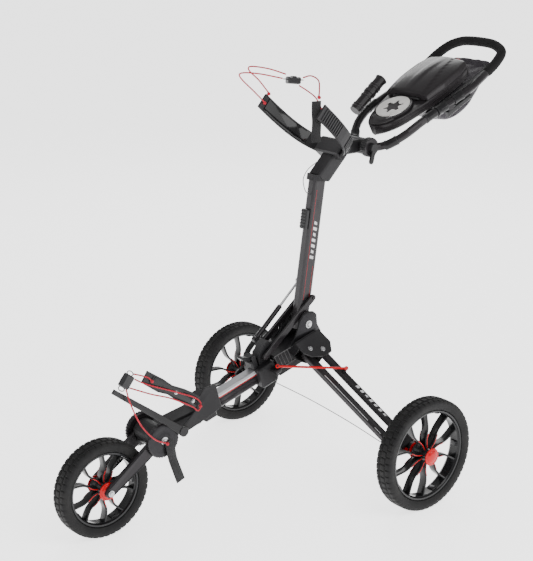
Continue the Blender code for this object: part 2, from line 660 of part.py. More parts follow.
def upper_bracket():
    """The cradle for the bag's top, with its two curved arms and the handle's hinge barrel."""
    body = block((0.092, 0.034, 0.046), BRACKET, 0.004)
    bridge = block((0.044, 0.096, 0.034), frame((0.0, -0.064, 0.861), X_AXIS, (0.0, 0.0, 1.0)), 0.004)
    barrel = disc(0.0215, -0.0295, 0.0295, across(HANDLE_PIVOT), 24, 0.002)
    path = ((-0.040, 0.002), (-0.066, 0.016), (-0.086, 0.036), (-0.101, 0.064), (-0.110, 0.100), (-0.114, 0.140), (-0.114, 0.188))
    points = [BRACKET @ Vector((x, y, 0.0)) for x, y in path]
    left = swept(smooth_path(points, 0.015), rounded_section(0.0035, 0.0205, 0.002, 1), BRACKET_UP)
    right = mirrored(left)
    along = (NECK_HEAD - NECK_FOOT).normalized()
    reach = (NECK_HEAD - NECK_FOOT).length + 0.004 + GAP
    neck_space = prism(rounded_section(0.0218, 0.0238, 0.010), -0.05, reach, frame(NECK_FOOT, X_AXIS, along))
    shape = joined(body, bridge, barrel, left, right)
    return cut(shape, neck_space, disc(0.0063, -0.1, 0.1, across(HANDLE_PIVOT)))


# Handle and console.

SIDE_TUBE = (
    (-0.0410, -0.124, 0.857), (-0.048, -0.140, 0.859), (-0.066, -0.158, 0.866), (-0.094, -0.190, 0.892), (-0.108, -0.240, 0.925),
    (-0.112, -0.310, 0.955),
    (-0.113, -0.400, 0.991), (-0.112, -0.465, 1.028),
)
GRIP_SIDE = ((-0.112, -0.466, 1.0286), (-0.111, -0.505, 1.054), (-0.098, -0.540, 1.078), (-0.066, -0.552, 1.092), (-0.030, -0.554, 1.097))


def handle_frame():
    """Both handle tubes, with their toothed hinge discs on a shared pin through the barrel."""
    left = swept(smooth_path(SIDE_TUBE, 0.020), circle_section(0.0110, 14), X_AXIS.cross(CONSOLE_BACK))
    right = mirrored(left)
    placing = across(HANDLE_PIVOT)
    half = [(0.006, 0.030), (0.0225, 0.030), (0.0245, 0.032), (0.0245, 0.050), (0.0225, 0.052), (0.0, 0.052)]
    hinge = turned([(r, -z) for r, z in reversed(half)] + half, placing, 24)
    brake_post = block((0.016, 0.014, 0.020), frame(BRAKE_PIVOT + Vector((0.0, 0.004, 0.0165)), CONSOLE_BACK, X_AXIS), 0.001)
    return joined(hinge, left, right, brake_post)


def handle_grip():
    """The foam grip around the handle's loop."""
    right = [(-x, y, z) for x, y, z in reversed(GRIP_SIDE)]
    loop = smooth_path([*GRIP_SIDE, *right], 0.014)
    return swept(loop, circle_section(0.0130, 14), X_AXIS.cross(CONSOLE_BACK))


CONSOLE_PLAN = (
    (-0.088, 0.010), (-0.070, 0.034), (-0.040, 0.054), (0.000, 0.066), (0.050, 0.076), (0.120, 0.083), (0.190, 0.080),
    (0.228, 0.068), (0.240, 0.040),
)
CUP_RADIUS = 0.036
LID_HINGE_A, LID_HINGE_H = 0.052, -0.004


def console_outline(shrink=0.0):
    half = [(a, x - shrink) for a, x in CONSOLE_PLAN]
    return half + [(a, -x) for a, x in reversed(half)]


def console_base():
    """The tray between the handle tubes, with a cup hole and a storage well."""
    tray = prism(console_outline(), -0.036, -0.010, CONSOLE, 0.003)
    collar = ring(CUP_RADIUS, CUP_RADIUS + 0.014, -0.012, -0.004, CONSOLE, 28)
    nose = prism(((-0.082, -0.012), (-0.060, -0.034), (-0.030, -0.050), (0.0, -0.056), (0.043, -0.060), (0.043, 0.060),
                  (0.0, 0.056), (-0.030, 0.050), (-0.060, 0.034), (-0.082, 0.012)), -0.012, -0.006, CONSOLE)
    cup = disc(CUP_RADIUS, -0.1, 0.1, CONSOLE, 28)
    well_low, well_high = 0.068, 0.220
    well = block((well_high - well_low, 0.124, 0.05), CONSOLE @ Matrix.Translation(((well_low + well_high) / 2, 0.0, -0.008)), 0.006)
    return cut(joined(tray, collar, nose), cup, well)


def lid_height(a, x):
    """The lid's outer height above the console's plane."""
    across_fall = 1 - (x / 0.115) ** 2
    along_rise = math.sin(math.pi * min(1.0, max(0.0, (a - 0.012) / 0.262))) ** 0.7
    return -0.004 + 0.028 * along_rise * across_fall


def console_lid():
    """The domed lid over the storage well, a shell open below."""
    stations = (0.056, 0.075, 0.100, 0.130, 0.160, 0.190, 0.215, 0.234)
    widths = (-1.0, -0.75, -0.45, -0.15, 0.15, 0.45, 0.75, 1.0)

    def half_width(a):
        for (a0, x0), (a1, x1) in zip(CONSOLE_PLAN, CONSOLE_PLAN[1:]):
            if a0 <= a <= a1:
                return x0 + (x1 - x0) * (a - a0) / (a1 - a0)
        return CONSOLE_PLAN[-1][1]

    def grid(shape, drop, shrink):
        rows = []
        for a in stations:
            inset = a + (shrink if a == stations[0] else -shrink if a == stations[-1] else 0.0)
            reach = half_width(inset) - shrink
            rows.append([shape.verts.new((inset, w * reach, lid_height(a, w * reach) - drop)) for w in widths])
        return rows

    def shell(drop, shrink, floor):
        shape = bmesh.new()
        top = grid(shape, drop, shrink)
        for before, after in zip(top, top[1:]):
            for i in range(len(widths) - 1):
                shape.faces.new((before[i], before[i + 1], after[i + 1], after[i]))
        rim_loop = top[0] + [row[-1] for row in top[1:]] + top[-1][-2::-1] + [row[0] for row in top[-2:0:-1]]
        base = [shape.verts.new((v.co.x, v.co.y, floor)) for v in rim_loop]
        for i, v in enumerate(rim_loop):
            j = (i + 1) % len(rim_loop)
            shape.faces.new((v, rim_loop[j], base[j], base[i]))
        shape.faces.new(base)
        shape.transform(CONSOLE)
        return finished(shape)

    return cut(shell(0.0, 0.0, -0.0095), shell(0.0025, 0.0025, -0.02))


def cup_gasket():
    """The light rubber ring in the cup hole, with a star-shaped opening."""
    outer = disc(CUP_RADIUS + 0.011, -0.0037, -0.0005, CONSOLE, 32)
    star = []
    for i in range(24):
        reach = 0.030 if (i // 2) % 2 == 0 else 0.019
        a = 2 * math.pi * i / 24
        star.append((reach * math.cos(a), reach * math.sin(a)))
    return cut(outer, prism(star, -0.02, 0.02, CONSOLE))


def storage_pouch():
    """The soft pouch under the console."""
    side = ((0.052, -0.040), (0.082, -0.078), (0.150, -0.118), (0.240, -0.122), (0.318, -0.094), (0.312, -0.052), (0.260, -0.040))
    placing = frame(CONSOLE_ORIGIN, CONSOLE_BACK, X_AXIS)
    shape = prism([(a, -h) for a, h in side], -0.082, 0.082, placing, 0.010)
    return shape


def umbrella_holder():
    """The open tube on the right-hand handle tube that takes an umbrella's shaft."""
    foot, head = Vector((0.093, -0.180, 0.931)), Vector((0.093, -0.277, 1.008))
    placing = frame(foot, X_AXIS, head - foot)
    length = (head - foot).length
    body = disc(0.0155, 0.0, length, placing, 20)
    band = disc(0.0175, length * 0.52, length * 0.60, placing, 20)
    return cut(joined(body, band), disc(0.0125, 0.012, length + 0.01, placing, 18))


LOCK_PIVOT = HANDLE_PIVOT + Vector((-0.0563, 0.0, 0.0))
BRAKE_PIVOT = Vector((-0.1125, -0.330, 0.9360))


def lock_lever():
    """The cam lever that clamps the handle's angle."""
    placing = frame(LOCK_PIVOT, (0.0, 0.25, -0.97), (-1.0, 0.0, 0.0))
    lever = prism(stadium((0.0, 0.0), (0.036, 0.0), 0.007), 0.0, 0.006, placing, 0.001)
    return joined(disc(0.012, -0.0040, 0.007, placing, 20, 0.001), lever)


def brake_lever():
    """The parking brake's lever under the left handle tube."""
    placing = frame(BRAKE_PIVOT, CONSOLE_BACK, X_AXIS)
    outline = ((-0.010, -0.008), (0.012, -0.008), (0.085, -0.005), (0.092, 0.0), (0.085, 0.006), (0.012, 0.006), (-0.010, 0.006))
    return prism(outline, -0.006, 0.006, placing, 0.0015)


def fold_latch():
    """The thumb latch on the collar's brow that frees the fold."""
    placing = side_plane(LATCH_PIVOT, ALONG_TUBE)
    lever = prism(((-0.006, -0.0045), (0.014, -0.004), (0.030, 0.006), (0.034, 0.014), (0.028, 0.015), (0.012, 0.006), (-0.006, 0.006)),
                  -0.0100, 0.0100, placing, 0.001)
    barrel = disc(0.006, -0.0112, 0.0112, placing, 16, 0.001)
    return cut(joined(lever, barrel), disc(0.0033, -0.05, 0.05, placing, 12))


# Straps, clips and cords.


def strap(points, width, thickness, flat_axis):
    return swept(smooth_path(points, 0.012), rounded_section(thickness / 2, width / 2, thickness * 0.4, 1), flat_axis)


def lower_strap():
    """The webbing tail that hangs from the lower cords' anchor."""
    points = ((-0.0610, 0.551, 0.222), (-0.0615, 0.546, 0.190), (-0.0620, 0.534, 0.150), (-0.0620, 0.519, 0.108))
    return strap(points, 0.025, 0.0022, (0.0, 1.0, 0.15))


def upper_strap():
    """The webbing tail that hangs from the left arm's tip."""
    points = ((-0.1040, 0.128, 1.010), (-0.1030, 0.127, 0.980), (-0.1020, 0.126, 0.945), (-0.1020, 0.125, 0.908))
    return strap(points, 0.025, 0.0022, (0.3, 1.0, 0.0))


CLIP_LOWER = frame((-0.062, 0.668, 0.404), (0.0, 0.62, -0.78), X_AXIS)
CLIP_UPPER = frame((0.010, 0.106, 1.046), (0.35, 0.93, 0.10), (0.0, -0.35, 0.93))


def clip(placing):
    """A cord clip: a slotted block with a thumb notch."""
    body = block((0.034, 0.026, 0.018), placing, 0.003)
    notches = [block((0.008, 0.040, 0.008), placing @ Matrix.Translation((x, 0.0, 0.0095))) for x in (-0.009, 0.009)]
    return cut(body, *notches)


def cord(name, route, diameter, colour):
    """A round cord along a smooth curve through its route, with closed ends."""
    curve = bpy.data.curves.new(name, "CURVE")
    curve.dimensions = "3D"
    curve.bevel_depth = diameter / 2
    curve.bevel_resolution = 2
    curve.use_fill_caps = True
    spline = curve.splines.new("POLY")
    points = smooth_path(route, 3 * diameter)
    spline.points.add(len(points) - 1)
    for spot, point in zip(spline.points, points):
        spot.co = (*point, 1.0)
    curve.materials.append(MATERIALS[colour])
    piece = bpy.data.objects.new(name, curve)
    piece.parent = CART
    bpy.context.scene.collection.objects.link(piece)


CORD = 0.0042
CORD_ROUTES = {
    "lower_cord_tip": ((-0.0670, 0.6010, 0.3895), (-0.070, 0.612, 0.402), (-0.070, 0.632, 0.412), (-0.066, 0.650, 0.419)),
    "lower_cord_loop": ((-0.066, 0.6467, 0.4052), (-0.069, 0.630, 0.394), (-0.071, 0.598, 0.377), (-0.071, 0.534, 0.347),
                        (-0.070, 0.478, 0.318), (-0.070, 0.461, 0.298), (-0.070, 0.470, 0.282), (-0.071, 0.489, 0.299),
                        (-0.072, 0.552, 0.336), (-0.072, 0.605, 0.359), (-0.066, 0.6614, 0.3868)),
    "lower_cord_drop": ((-0.0735, 0.676, 0.388), (-0.079, 0.668, 0.350), (-0.078, 0.640, 0.290), (-0.074, 0.600, 0.243), (-0.0665, 0.561, 0.220)),
    "upper_cord_bead": ((0.1075, 0.118, 0.980), (0.100, 0.158, 1.012), (0.085, 0.212, 1.052), (0.066, 0.226, 1.068), (0.044, 0.190, 1.066),
                        (0.0205, 0.132, 1.052)),
    "upper_cord_loop": ((0.1075, 0.104, 1.002), (0.096, 0.146, 1.040), (0.080, 0.190, 1.070), (0.066, 0.196, 1.082), (0.040, 0.160, 1.076),
                        (0.0165, 0.124, 1.0620)),
    "upper_cord_near": ((-0.0030, 0.0850, 1.052), (-0.022, 0.076, 1.058), (-0.062, 0.086, 1.052), (-0.088, 0.105, 1.034), (-0.0985, 0.116, 1.016)),
    "upper_cord_low": ((0.0010, 0.0945, 1.0330), (-0.020, 0.083, 1.020), (-0.056, 0.090, 1.010), (-0.084, 0.100, 0.996), (-0.0985, 0.106, 0.986)),
}
CABLE = 0.0022
NECK_CABLE = ((0.0, 0.0600, 0.7505), (0.004, 0.070, 0.764), (0.006, 0.074, 0.792), (0.004, 0.060, 0.816), (0.0, 0.0335, 0.8330))
BRAKE_CABLE = ((-0.026, 0.192, 0.2770), (-0.110, 0.140, 0.2400), (-0.200, 0.088, 0.1950), (-0.2760, 0.040, 0.1480), (-0.3060, 0.020, 0.1320))


# The cart.

for old in list(bpy.data.objects):
    bpy.data.objects.remove(old)

MATERIALS = {
    name: material(name, *looks)
    for name, looks in {
        "frame": ((0.055, 0.052, 0.056), 0.38, 0.55),
        "plastic": ((0.035, 0.033, 0.036), 0.50),
        "pad": ((0.028, 0.027, 0.029), 0.42),
        "silver": ((0.42, 0.42, 0.43), 0.30, 0.9),
        "red": ((0.72, 0.012, 0.015), 0.35),
        "tyre": ((0.022, 0.022, 0.023), 0.72),
        "rim": ((0.020, 0.020, 0.021), 0.45),
        "foam": ((0.032, 0.031, 0.032), 0.85),
        "console": ((0.075, 0.070, 0.075), 0.42),
        "gasket": ((0.62, 0.61, 0.60), 0.45),
        "fabric": ((0.060, 0.052, 0.064), 0.80),
        "webbing": ((0.018, 0.018, 0.019), 0.80),
        "cord": ((0.62, 0.015, 0.045), 0.60),
        "cable": ((0.045, 0.045, 0.048), 0.40),
    }.items()
}

CART = bpy.data.objects.new("cart", None)
CART.location = (0.0, -CENTRE_Y, 0.0)
bpy.context.scene.collection.objects.link(CART)

node("lower_tube", lower_tube(), "frame")
node("hub_housing", hub_housing(), "plastic")
both_sides("leg_bracket", leg_bracket, "plastic")
node("upright_bolt", bolt(0.006, CHEEK_OUTER, 0.010, 0.003, across(UPRIGHT_PIVOT)), "silver")
node("fork_yoke", fork_yoke(), "plastic")
node("lower_bracket", lower_bracket_base(), "plastic")
node("side_arm", side_arm(), "pad")
node("base_rest", base_rest(), "pad")
node("lower_strap", lower_strap(), "webbing")
node("lower_clip", clip(CLIP_LOWER), "pad")

both_sides("fork_arm", fork_arm, "frame", FORK_PIVOT)
node("fork_bolt", bolt(0.006, 0.053, 0.010, 0.003, across(FORK_PIVOT)), "silver", FORK_PIVOT)
node("front_axle", bolt(0.0042, 0.042, 0.008, 0.003, across(FRONT_AXLE)), "silver", FORK_PIVOT)
wheel("front", FRONT_AXLE, FRONT_RADIUS, 0.0045)
for side, sign in (("left", 1), ("right", -1)):
    wheel(f"{side}_wheel", (sign * WHEEL_CENTRE.x, 0.0, REAR_RADIUS), REAR_RADIUS, 0.0063)

both_sides("front_bar", front_bar, "frame", FRONT_BAR_ROOT)
both_sides("rear_bar", rear_bar, "frame", LEG_ROOT)
both_sides("wheel_carrier", knuckle, "plastic", LEG_END)
both_sides("wheel_release", wheel_release, "red", RELEASE_FOOT)

node("slider_collar", slider_collar(), "plastic", on_tube(0.0, 0.0))
node("fold_latch", fold_latch(), "pad", LATCH_PIVOT)
both_sides("link_rod", link_rod, "red", ROD_FOOT)
node("strut_cylinder", strut_cylinder(), "frame", STRUT_FOOT)
node("strut_rod", strut_rod(), "silver", STRUT_HEAD)
node("link_arms", link_arms(), "frame", ARM_TOP)

node("upright_tube", upright_tube(), "frame", UPRIGHT_PIVOT)
node("neck_tube", neck_tube(), "plastic", UPRIGHT_PIVOT)
node("upper_bracket", upper_bracket(), "plastic", UPRIGHT_PIVOT)
node("fold_bumper", fold_bumper(), "pad", UPRIGHT_PIVOT)
node("upper_strap", upper_strap(), "webbing", UPRIGHT_PIVOT)
node("upper_clip", clip(CLIP_UPPER), "pad", UPRIGHT_PIVOT)

node("handle_frame", handle_frame(), "frame", HANDLE_PIVOT)
node("handle_grip", handle_grip(), "foam", HANDLE_PIVOT)
node("console_base", console_base(), "console", HANDLE_PIVOT)
node("console_lid", console_lid(), "console", CONSOLE @ Vector((LID_HINGE_A, 0.0, LID_HINGE_H)))
node("cup_gasket", cup_gasket(), "gasket", HANDLE_PIVOT)
node("storage_pouch", storage_pouch(), "fabric", HANDLE_PIVOT)
node("umbrella_holder", umbrella_holder(), "console", HANDLE_PIVOT)
node("lock_lever", lock_lever(), "pad", LOCK_PIVOT)
node("brake_lever", brake_lever(), "pad", BRAKE_PIVOT)

for cord_name, route in CORD_ROUTES.items():
    cord(cord_name, route, CORD, "cord")
cord("neck_cable", NECK_CABLE, CABLE, "cable")
cord("brake_cable", BRAKE_CABLE, CABLE, "cable")
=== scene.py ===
import json
from math import copysign, cos, exp, pi, radians, sin, sqrt

import bmesh
import bpy
from mathutils import Matrix, Vector, noise


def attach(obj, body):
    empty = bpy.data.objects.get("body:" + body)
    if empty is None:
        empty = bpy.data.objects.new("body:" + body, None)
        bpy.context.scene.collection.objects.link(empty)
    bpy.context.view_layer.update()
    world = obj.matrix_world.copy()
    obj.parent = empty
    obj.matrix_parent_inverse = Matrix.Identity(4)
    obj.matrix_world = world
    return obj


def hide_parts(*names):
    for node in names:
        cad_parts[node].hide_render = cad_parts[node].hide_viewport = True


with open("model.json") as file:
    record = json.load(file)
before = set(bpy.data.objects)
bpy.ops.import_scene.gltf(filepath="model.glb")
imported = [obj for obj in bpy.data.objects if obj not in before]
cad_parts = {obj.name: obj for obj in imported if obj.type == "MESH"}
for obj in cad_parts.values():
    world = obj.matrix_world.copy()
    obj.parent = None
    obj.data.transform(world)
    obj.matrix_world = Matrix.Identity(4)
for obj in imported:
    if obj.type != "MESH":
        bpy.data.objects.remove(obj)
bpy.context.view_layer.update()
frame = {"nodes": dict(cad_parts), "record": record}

# The cart frame has the rear axle line at Y = 0. The row frame's origin is the middle of the footprint.
CENTRE_Y = 0.1316
CART = Matrix.Translation((0.0, -CENTRE_Y, 0.0))
X_AXIS = Vector((1.0, 0.0, 0.0))
Y_AXIS = Vector((0.0, 1.0, 0.0))

TRACK = 0.761
REAR_RADIUS = 0.146
FRONT_RADIUS = 0.1225
FRONT_AXLE = Vector((0.0, 0.708, FRONT_RADIUS))
TYRE_WIDTH = 0.047
TUBE_ORIGIN = Vector((0.0, 0.234, 0.301))
TUBE_PITCH = radians(15.96)
ABOVE_TUBE = Vector((0.0, sin(TUBE_PITCH), cos(TUBE_PITCH)))
UPRIGHT_PIVOT = Vector((0.0, 0.088, 0.416))
UPRIGHT_LEAN = radians(8.6)
ALONG_UPRIGHT = Vector((0.0, -sin(UPRIGHT_LEAN), cos(UPRIGHT_LEAN)))
LEG_ROOT = Vector((-0.080, 0.082, 0.3515))
LEG_END = Vector((-0.310, 0.005, 0.170))
FORK_PIVOT = Vector((0.0, 0.560, 0.222))
HANDLE_PIVOT = Vector((0.0, -0.110, 0.860))
CONSOLE_ORIGIN = Vector((0.0, -0.231, 0.951))
CONSOLE_PITCH = radians(26.6)
BRACKET_ORIGIN = Vector((0.0, -0.020, 0.862))
BRACKET_PITCH = radians(41.0)


# Placements.


def placed(origin, x_axis, z_axis):
    """A placement in the cart frame whose X and Z run along the two given directions."""
    x = Vector(x_axis).normalized()
    y = Vector(z_axis).cross(x).normalized()
    z = x.cross(y)
    return Matrix.Translation(origin) @ Matrix((x, y, z)).transposed().to_4x4()


def across(point):
    """A placement at a point with its Z along the cart's X."""
    return placed(point, Y_AXIS, X_AXIS)


def upright_frame(z, y=0.0, x=0.0):
    """A placement on the upright, z along it from its pivot and y forwards from its middle."""
    forward = Vector((0.0, cos(UPRIGHT_LEAN), sin(UPRIGHT_LEAN)))
    return placed(UPRIGHT_PIVOT + ALONG_UPRIGHT * z + forward * y + X_AXIS * x, X_AXIS, ALONG_UPRIGHT)


LEG_HEADING = (LEG_END - LEG_ROOT).normalized()
LEG_LENGTH = (LEG_END - LEG_ROOT).length
LEG_NORMAL = Vector((LEG_HEADING.z, 0.0, -LEG_HEADING.x)).normalized()
LEG = placed(LEG_ROOT, LEG_HEADING, LEG_NORMAL)
CONSOLE_BACK = Vector((0.0, -cos(CONSOLE_PITCH), sin(CONSOLE_PITCH)))
CONSOLE_UP = Vector((0.0, sin(CONSOLE_PITCH), cos(CONSOLE_PITCH)))
CONSOLE = placed(CONSOLE_ORIGIN, CONSOLE_BACK, CONSOLE_UP)
BRACKET_UP = Vector((0.0, -sin(BRACKET_PITCH), cos(BRACKET_PITCH)))
BRACKET = placed(BRACKET_ORIGIN, X_AXIS, BRACKET_UP)


# Materials. Every pattern is laid out in the part's own coordinates, in metres.

MATERIALS = {}


class Surface:
    """A Principled material with colour blotches, varied roughness and a fine bump."""

    def __init__(self, name, colour, roughness, metallic=0.0, coat=0.0, sheen=0.0, specular=0.13):
        self.name = name
        self.material = bpy.data.materials.new(name)
        self.material.use_nodes = True
        self.tree = self.material.node_tree
        self.shader = self.tree.nodes["Principled BSDF"]
        for socket, value in (
            ("Metallic", metallic), ("Coat Weight", coat), ("Coat Roughness", 0.08), ("Sheen Weight", sheen),
            ("Specular IOR Level", specular),
        ):
            self.shader.inputs[socket].default_value = value
        self.place = self.tree.nodes.new("ShaderNodeTexCoord").outputs["Object"]
        start = self.tree.nodes.new("ShaderNodeRGB")
        start.outputs[0].default_value = (*colour, 1.0)
        self.colour = start.outputs[0]
        self.roughness = roughness
        self.height = None

    def math(self, operation, a, b=0.0, c=0.0, clamp=False):
        made = self.tree.nodes.new("ShaderNodeMath")
        made.operation, made.use_clamp = operation, clamp
        for socket, value in zip(made.inputs, (a, b, c)):
            if isinstance(value, (int, float)):
                socket.default_value = value
            else:
                self.tree.links.new(value, socket)
        return made.outputs[0]

    def texture(self, kind, **values):
        """A texture node laid out in the part's coordinates."""
        made = self.tree.nodes.new(kind)
        for socket, value in values.items():
            made.inputs[socket].default_value = value
        self.tree.links.new(self.place, made.inputs["Vector"])
        return made

    def noise(self, scale, detail=3.0):
        return self.texture("ShaderNodeTexNoise", Scale=scale, Detail=detail).outputs["Fac"]

    def cells(self, scale):
        return self.texture("ShaderNodeTexVoronoi", Scale=scale).outputs["Distance"]

    def along(self, direction, origin=(0.0, 0.0, 0.0)):
        """How far each point lies from an origin, in the row frame, along a direction."""
        made = self.tree.nodes.new("ShaderNodeVectorMath")
        made.operation = "DOT_PRODUCT"
        self.tree.links.new(self.place, made.inputs[0])
        heading = Vector(direction).normalized()
        made.inputs[1].default_value = heading
        return self.math("SUBTRACT", made.outputs["Value"], heading.dot(Vector(origin)))

    def ribs(self, direction, period):
        """A sine wave, from 0 to 1, along a direction."""
        turned = self.math("MULTIPLY", self.along(direction), 2 * pi / period)
        return self.math("MULTIPLY_ADD", self.math("SINE", turned), 0.5, 0.5)

    def band(self, value, low, high):
        return self.math("COMPARE", value, (low + high) / 2, (high - low) / 2)

    def ramp(self, value, low, high):
        """The value stretched so that low becomes 0 and high becomes 1."""
        made = self.tree.nodes.new("ShaderNodeMapRange")
        made.inputs["From Min"].default_value, made.inputs["From Max"].default_value = low, high
        self.tree.links.new(value, made.inputs["Value"])
        return made.outputs["Result"]

    def tint(self, mask, colour, strength=1.0):
        """Puts a colour over the present one where the mask is 1."""
        made = self.tree.nodes.new("ShaderNodeMix")
        made.data_type = "RGBA"
        self.tree.links.new(self.math("MULTIPLY", mask, strength, clamp=True), made.inputs["Factor"])
        self.tree.links.new(self.colour, made.inputs[6])
        made.inputs[7].default_value = (*colour, 1.0)
        self.colour = made.outputs[2]
        return self

    def blotches(self, colour, scale, strength=0.5):
        """Soft patches of a second colour."""
        return self.tint(self.ramp(self.noise(scale, 5.0), 0.42, 0.68), colour, strength)

    def relief(self, value, depth):
        """Adds a height, in metres, to the bump."""
        scaled = self.math("MULTIPLY", value, depth)
        self.height = scaled if self.height is None else self.math("ADD", self.height, scaled)
        return self

    def done(self, spread=0.12):
        """Joins everything to the shader. The roughness varies by the spread in all."""
        rough = self.math(
            "MULTIPLY_ADD", self.noise(45.0, 4.0), spread, self.roughness - spread / 2, clamp=True
        )
        self.tree.links.new(rough, self.shader.inputs["Roughness"])
        self.tree.links.new(self.colour, self.shader.inputs["Base Color"])
        if self.height is not None:
            bump = self.tree.nodes.new("ShaderNodeBump")
            bump.inputs["Distance"].default_value = 1.0
            bump.inputs["Strength"].default_value = 1.0
            self.tree.links.new(self.height, bump.inputs["Height"])
            self.tree.links.new(bump.outputs["Normal"], self.shader.inputs["Normal"])
        MATERIALS[self.name] = self.material


def worn(surface, colour, strength=0.5):
    """Lightens the piece's edges where the finish has rubbed."""
    pointiness = surface.tree.nodes.new("ShaderNodeNewGeometry").outputs["Pointiness"]
    return surface.tint(surface.ramp(pointiness, 0.53, 0.62), colour, strength)


def row(point):
    """A cart point in the row frame."""
    return CART @ Vector(point)


def make_materials():
    s = worn(Surface("frame", (0.014, 0.0125, 0.014), 0.34, 0.4, coat=0.2), (0.060, 0.058, 0.060))
    s.blotches((0.020, 0.018, 0.020), 12.0).relief(s.noise(1400.0), 0.00002).done()

    s = Surface("tube_stripes_and_painted_light", (0.020, 0.018, 0.020), 0.34, 0.55, coat=0.3)
    above = s.along(ABOVE_TUBE, row(TUBE_ORIGIN))
    # The top face is painted light grey as a painted highlight; the white and red bands below it are the
    # tube's own stripes.
    s.tint(s.math("GREATER_THAN", above, 0.0142), (0.36, 0.36, 0.37))
    s.tint(s.band(above, 0.0118, 0.0142), (0.70, 0.70, 0.71))
    s.tint(s.band(above, 0.0088, 0.0108), (0.55, 0.03, 0.035))
    # The underside is painted darker as painted shade.
    s.tint(s.math("LESS_THAN", above, -0.0145), (0.016, 0.015, 0.016))
    s.relief(s.noise(1400.0), 0.00002).done()

    s = worn(Surface("plastic", (0.0085, 0.0082, 0.009), 0.42), (0.045, 0.044, 0.046), 0.6)
    s.blotches((0.013, 0.0125, 0.0135), 16.0).relief(s.cells(900.0), 0.00006).done(0.16)

    s = worn(Surface("pad", (0.0075, 0.0072, 0.008), 0.30, coat=0.15), (0.05, 0.05, 0.052), 0.5)
    s.blotches((0.012, 0.0115, 0.0125), 20.0).relief(s.noise(1100.0), 0.00004).done(0.15)

    s = Surface("silver", (0.46, 0.46, 0.47), 0.26, 0.95)
    s.blotches((0.34, 0.34, 0.35), 60.0).relief(
        s.ribs((0.2, 0.9, 0.4), 0.0005), 0.00001
    ).done(0.2)

    s = Surface("red", (0.46, 0.001, 0.004), 0.30, 0.1, coat=0.25)
    s.blotches((0.34, 0.001, 0.003), 40.0).relief(s.noise(1200.0), 0.00002).done(0.1)

    s = Surface("tyre", (0.0085, 0.0085, 0.009), 0.60)
    s.blotches((0.018, 0.0175, 0.017), 26.0, 0.6).tint(s.noise(420.0, 2.0), (0.014, 0.0135, 0.013), 0.35)
    s.relief(s.cells(700.0), 0.00012).relief(s.noise(260.0, 6.0), 0.00010).done(0.2)

    s = worn(Surface("rim", (0.0062, 0.0062, 0.0068), 0.27, coat=0.25), (0.045, 0.045, 0.048), 0.6)
    s.blotches((0.010, 0.010, 0.011), 18.0).relief(s.noise(900.0), 0.00003).done(0.12)

    s = Surface("foam", (0.0085, 0.0082, 0.0085), 0.78)
    s.blotches((0.014, 0.0135, 0.014), 30.0)
    s.relief(s.cells(620.0), 0.00035).relief(s.noise(240.0, 5.0), 0.00025).done(0.1)

    s = worn(Surface("console", (0.011, 0.0095, 0.0105), 0.33, 0.0, coat=0.12), (0.06, 0.056, 0.06), 0.5)
    s.tint(s.noise(2600.0, 1.0), (0.022, 0.020, 0.021), 0.4)
    s.blotches((0.014, 0.012, 0.0135), 8.0).relief(s.cells(1300.0), 0.00003).done(0.14)

    s = Surface("gasket", (0.56, 0.55, 0.53), 0.42)
    s.blotches((0.46, 0.45, 0.44), 30.0).relief(s.noise(900.0), 0.00004).done(0.12)

    s = Surface("fabric", (0.016, 0.0125, 0.018), 0.74, sheen=0.35)
    weave = s.math("MULTIPLY", s.ribs((1.0, 0.15, 0.0), 0.0009), s.ribs((0.0, 0.6, 0.8), 0.0009))
    s.blotches((0.026, 0.021, 0.028), 14.0, 0.7).tint(weave, (0.034, 0.028, 0.037), 0.5)
    s.relief(weave, 0.00022).relief(s.noise(60.0, 5.0), 0.0006).done(0.1)

    s = Surface("webbing", (0.0065, 0.0065, 0.007), 0.72, sheen=0.2)
    ribs = s.ribs((0.0, 0.12, 1.0), 0.0016)
    s.tint(ribs, (0.015, 0.0145, 0.0155), 0.8)
    s.relief(ribs, 0.0003).relief(s.ribs((1.0, 1.0, 0.0), 0.0008), 0.00012).done(0.1)

    s = Surface("cord", (0.33, 0.003, 0.016), 0.55, sheen=0.15)
    braid = s.math("MULTIPLY", s.ribs((0.5, 0.8, 0.7), 0.0016), s.ribs((-0.5, 0.8, -0.7), 0.0016))
    s.tint(braid, (0.52, 0.016, 0.040), 0.8).blotches((0.20, 0.003, 0.010), 90.0, 0.5)
    s.relief(braid, 0.0002).done(0.12)

    s = Surface("cable", (0.048, 0.047, 0.050), 0.36, 0.2)
    s.blotches((0.075, 0.073, 0.076), 70.0).relief(s.noise(1500.0), 0.00003).done(0.12)

    s = Surface("white_mark", (0.62, 0.62, 0.63), 0.36)
    s.blotches((0.46, 0.46, 0.47), 80.0, 0.7).relief(s.noise(1600.0), 0.00001).done(0.1)

    s = Surface("red_mark", (0.40, 0.015, 0.022), 0.36)
    s.blotches((0.30, 0.010, 0.016), 80.0, 0.7).relief(s.noise(1600.0), 0.00001).done(0.1)

    s = Surface("dark_plate", (0.022, 0.0215, 0.0235), 0.36, 0.45)
    s.blotches((0.032, 0.031, 0.033), 22.0).relief(
        s.ribs((0.0, 0.8, -0.6), 0.0007), 0.00001
    ).done(0.18)

    s = Surface("rib", (0.012, 0.0118, 0.0125), 0.34, 0.2)
    worn(s, (0.10, 0.098, 0.10), 0.9).relief(s.noise(900.0), 0.00003).done(0.12)

    s = Surface("gloss_pad", (0.0045, 0.0044, 0.0048), 0.16, coat=0.35)
    s.blotches((0.008, 0.008, 0.0085), 24.0).relief(s.noise(500.0), 0.00002).done(0.08)

    s = Surface("carbon", (0.0055, 0.0055, 0.006), 0.26, coat=0.3)
    weave = s.math("MULTIPLY", s.ribs((0.0, 1.0, 1.0), 0.0026), s.ribs((0.0, 1.0, -1.0), 0.0026))
    s.tint(weave, (0.022, 0.022, 0.023), 0.9).relief(weave, 0.0001).done(0.08)

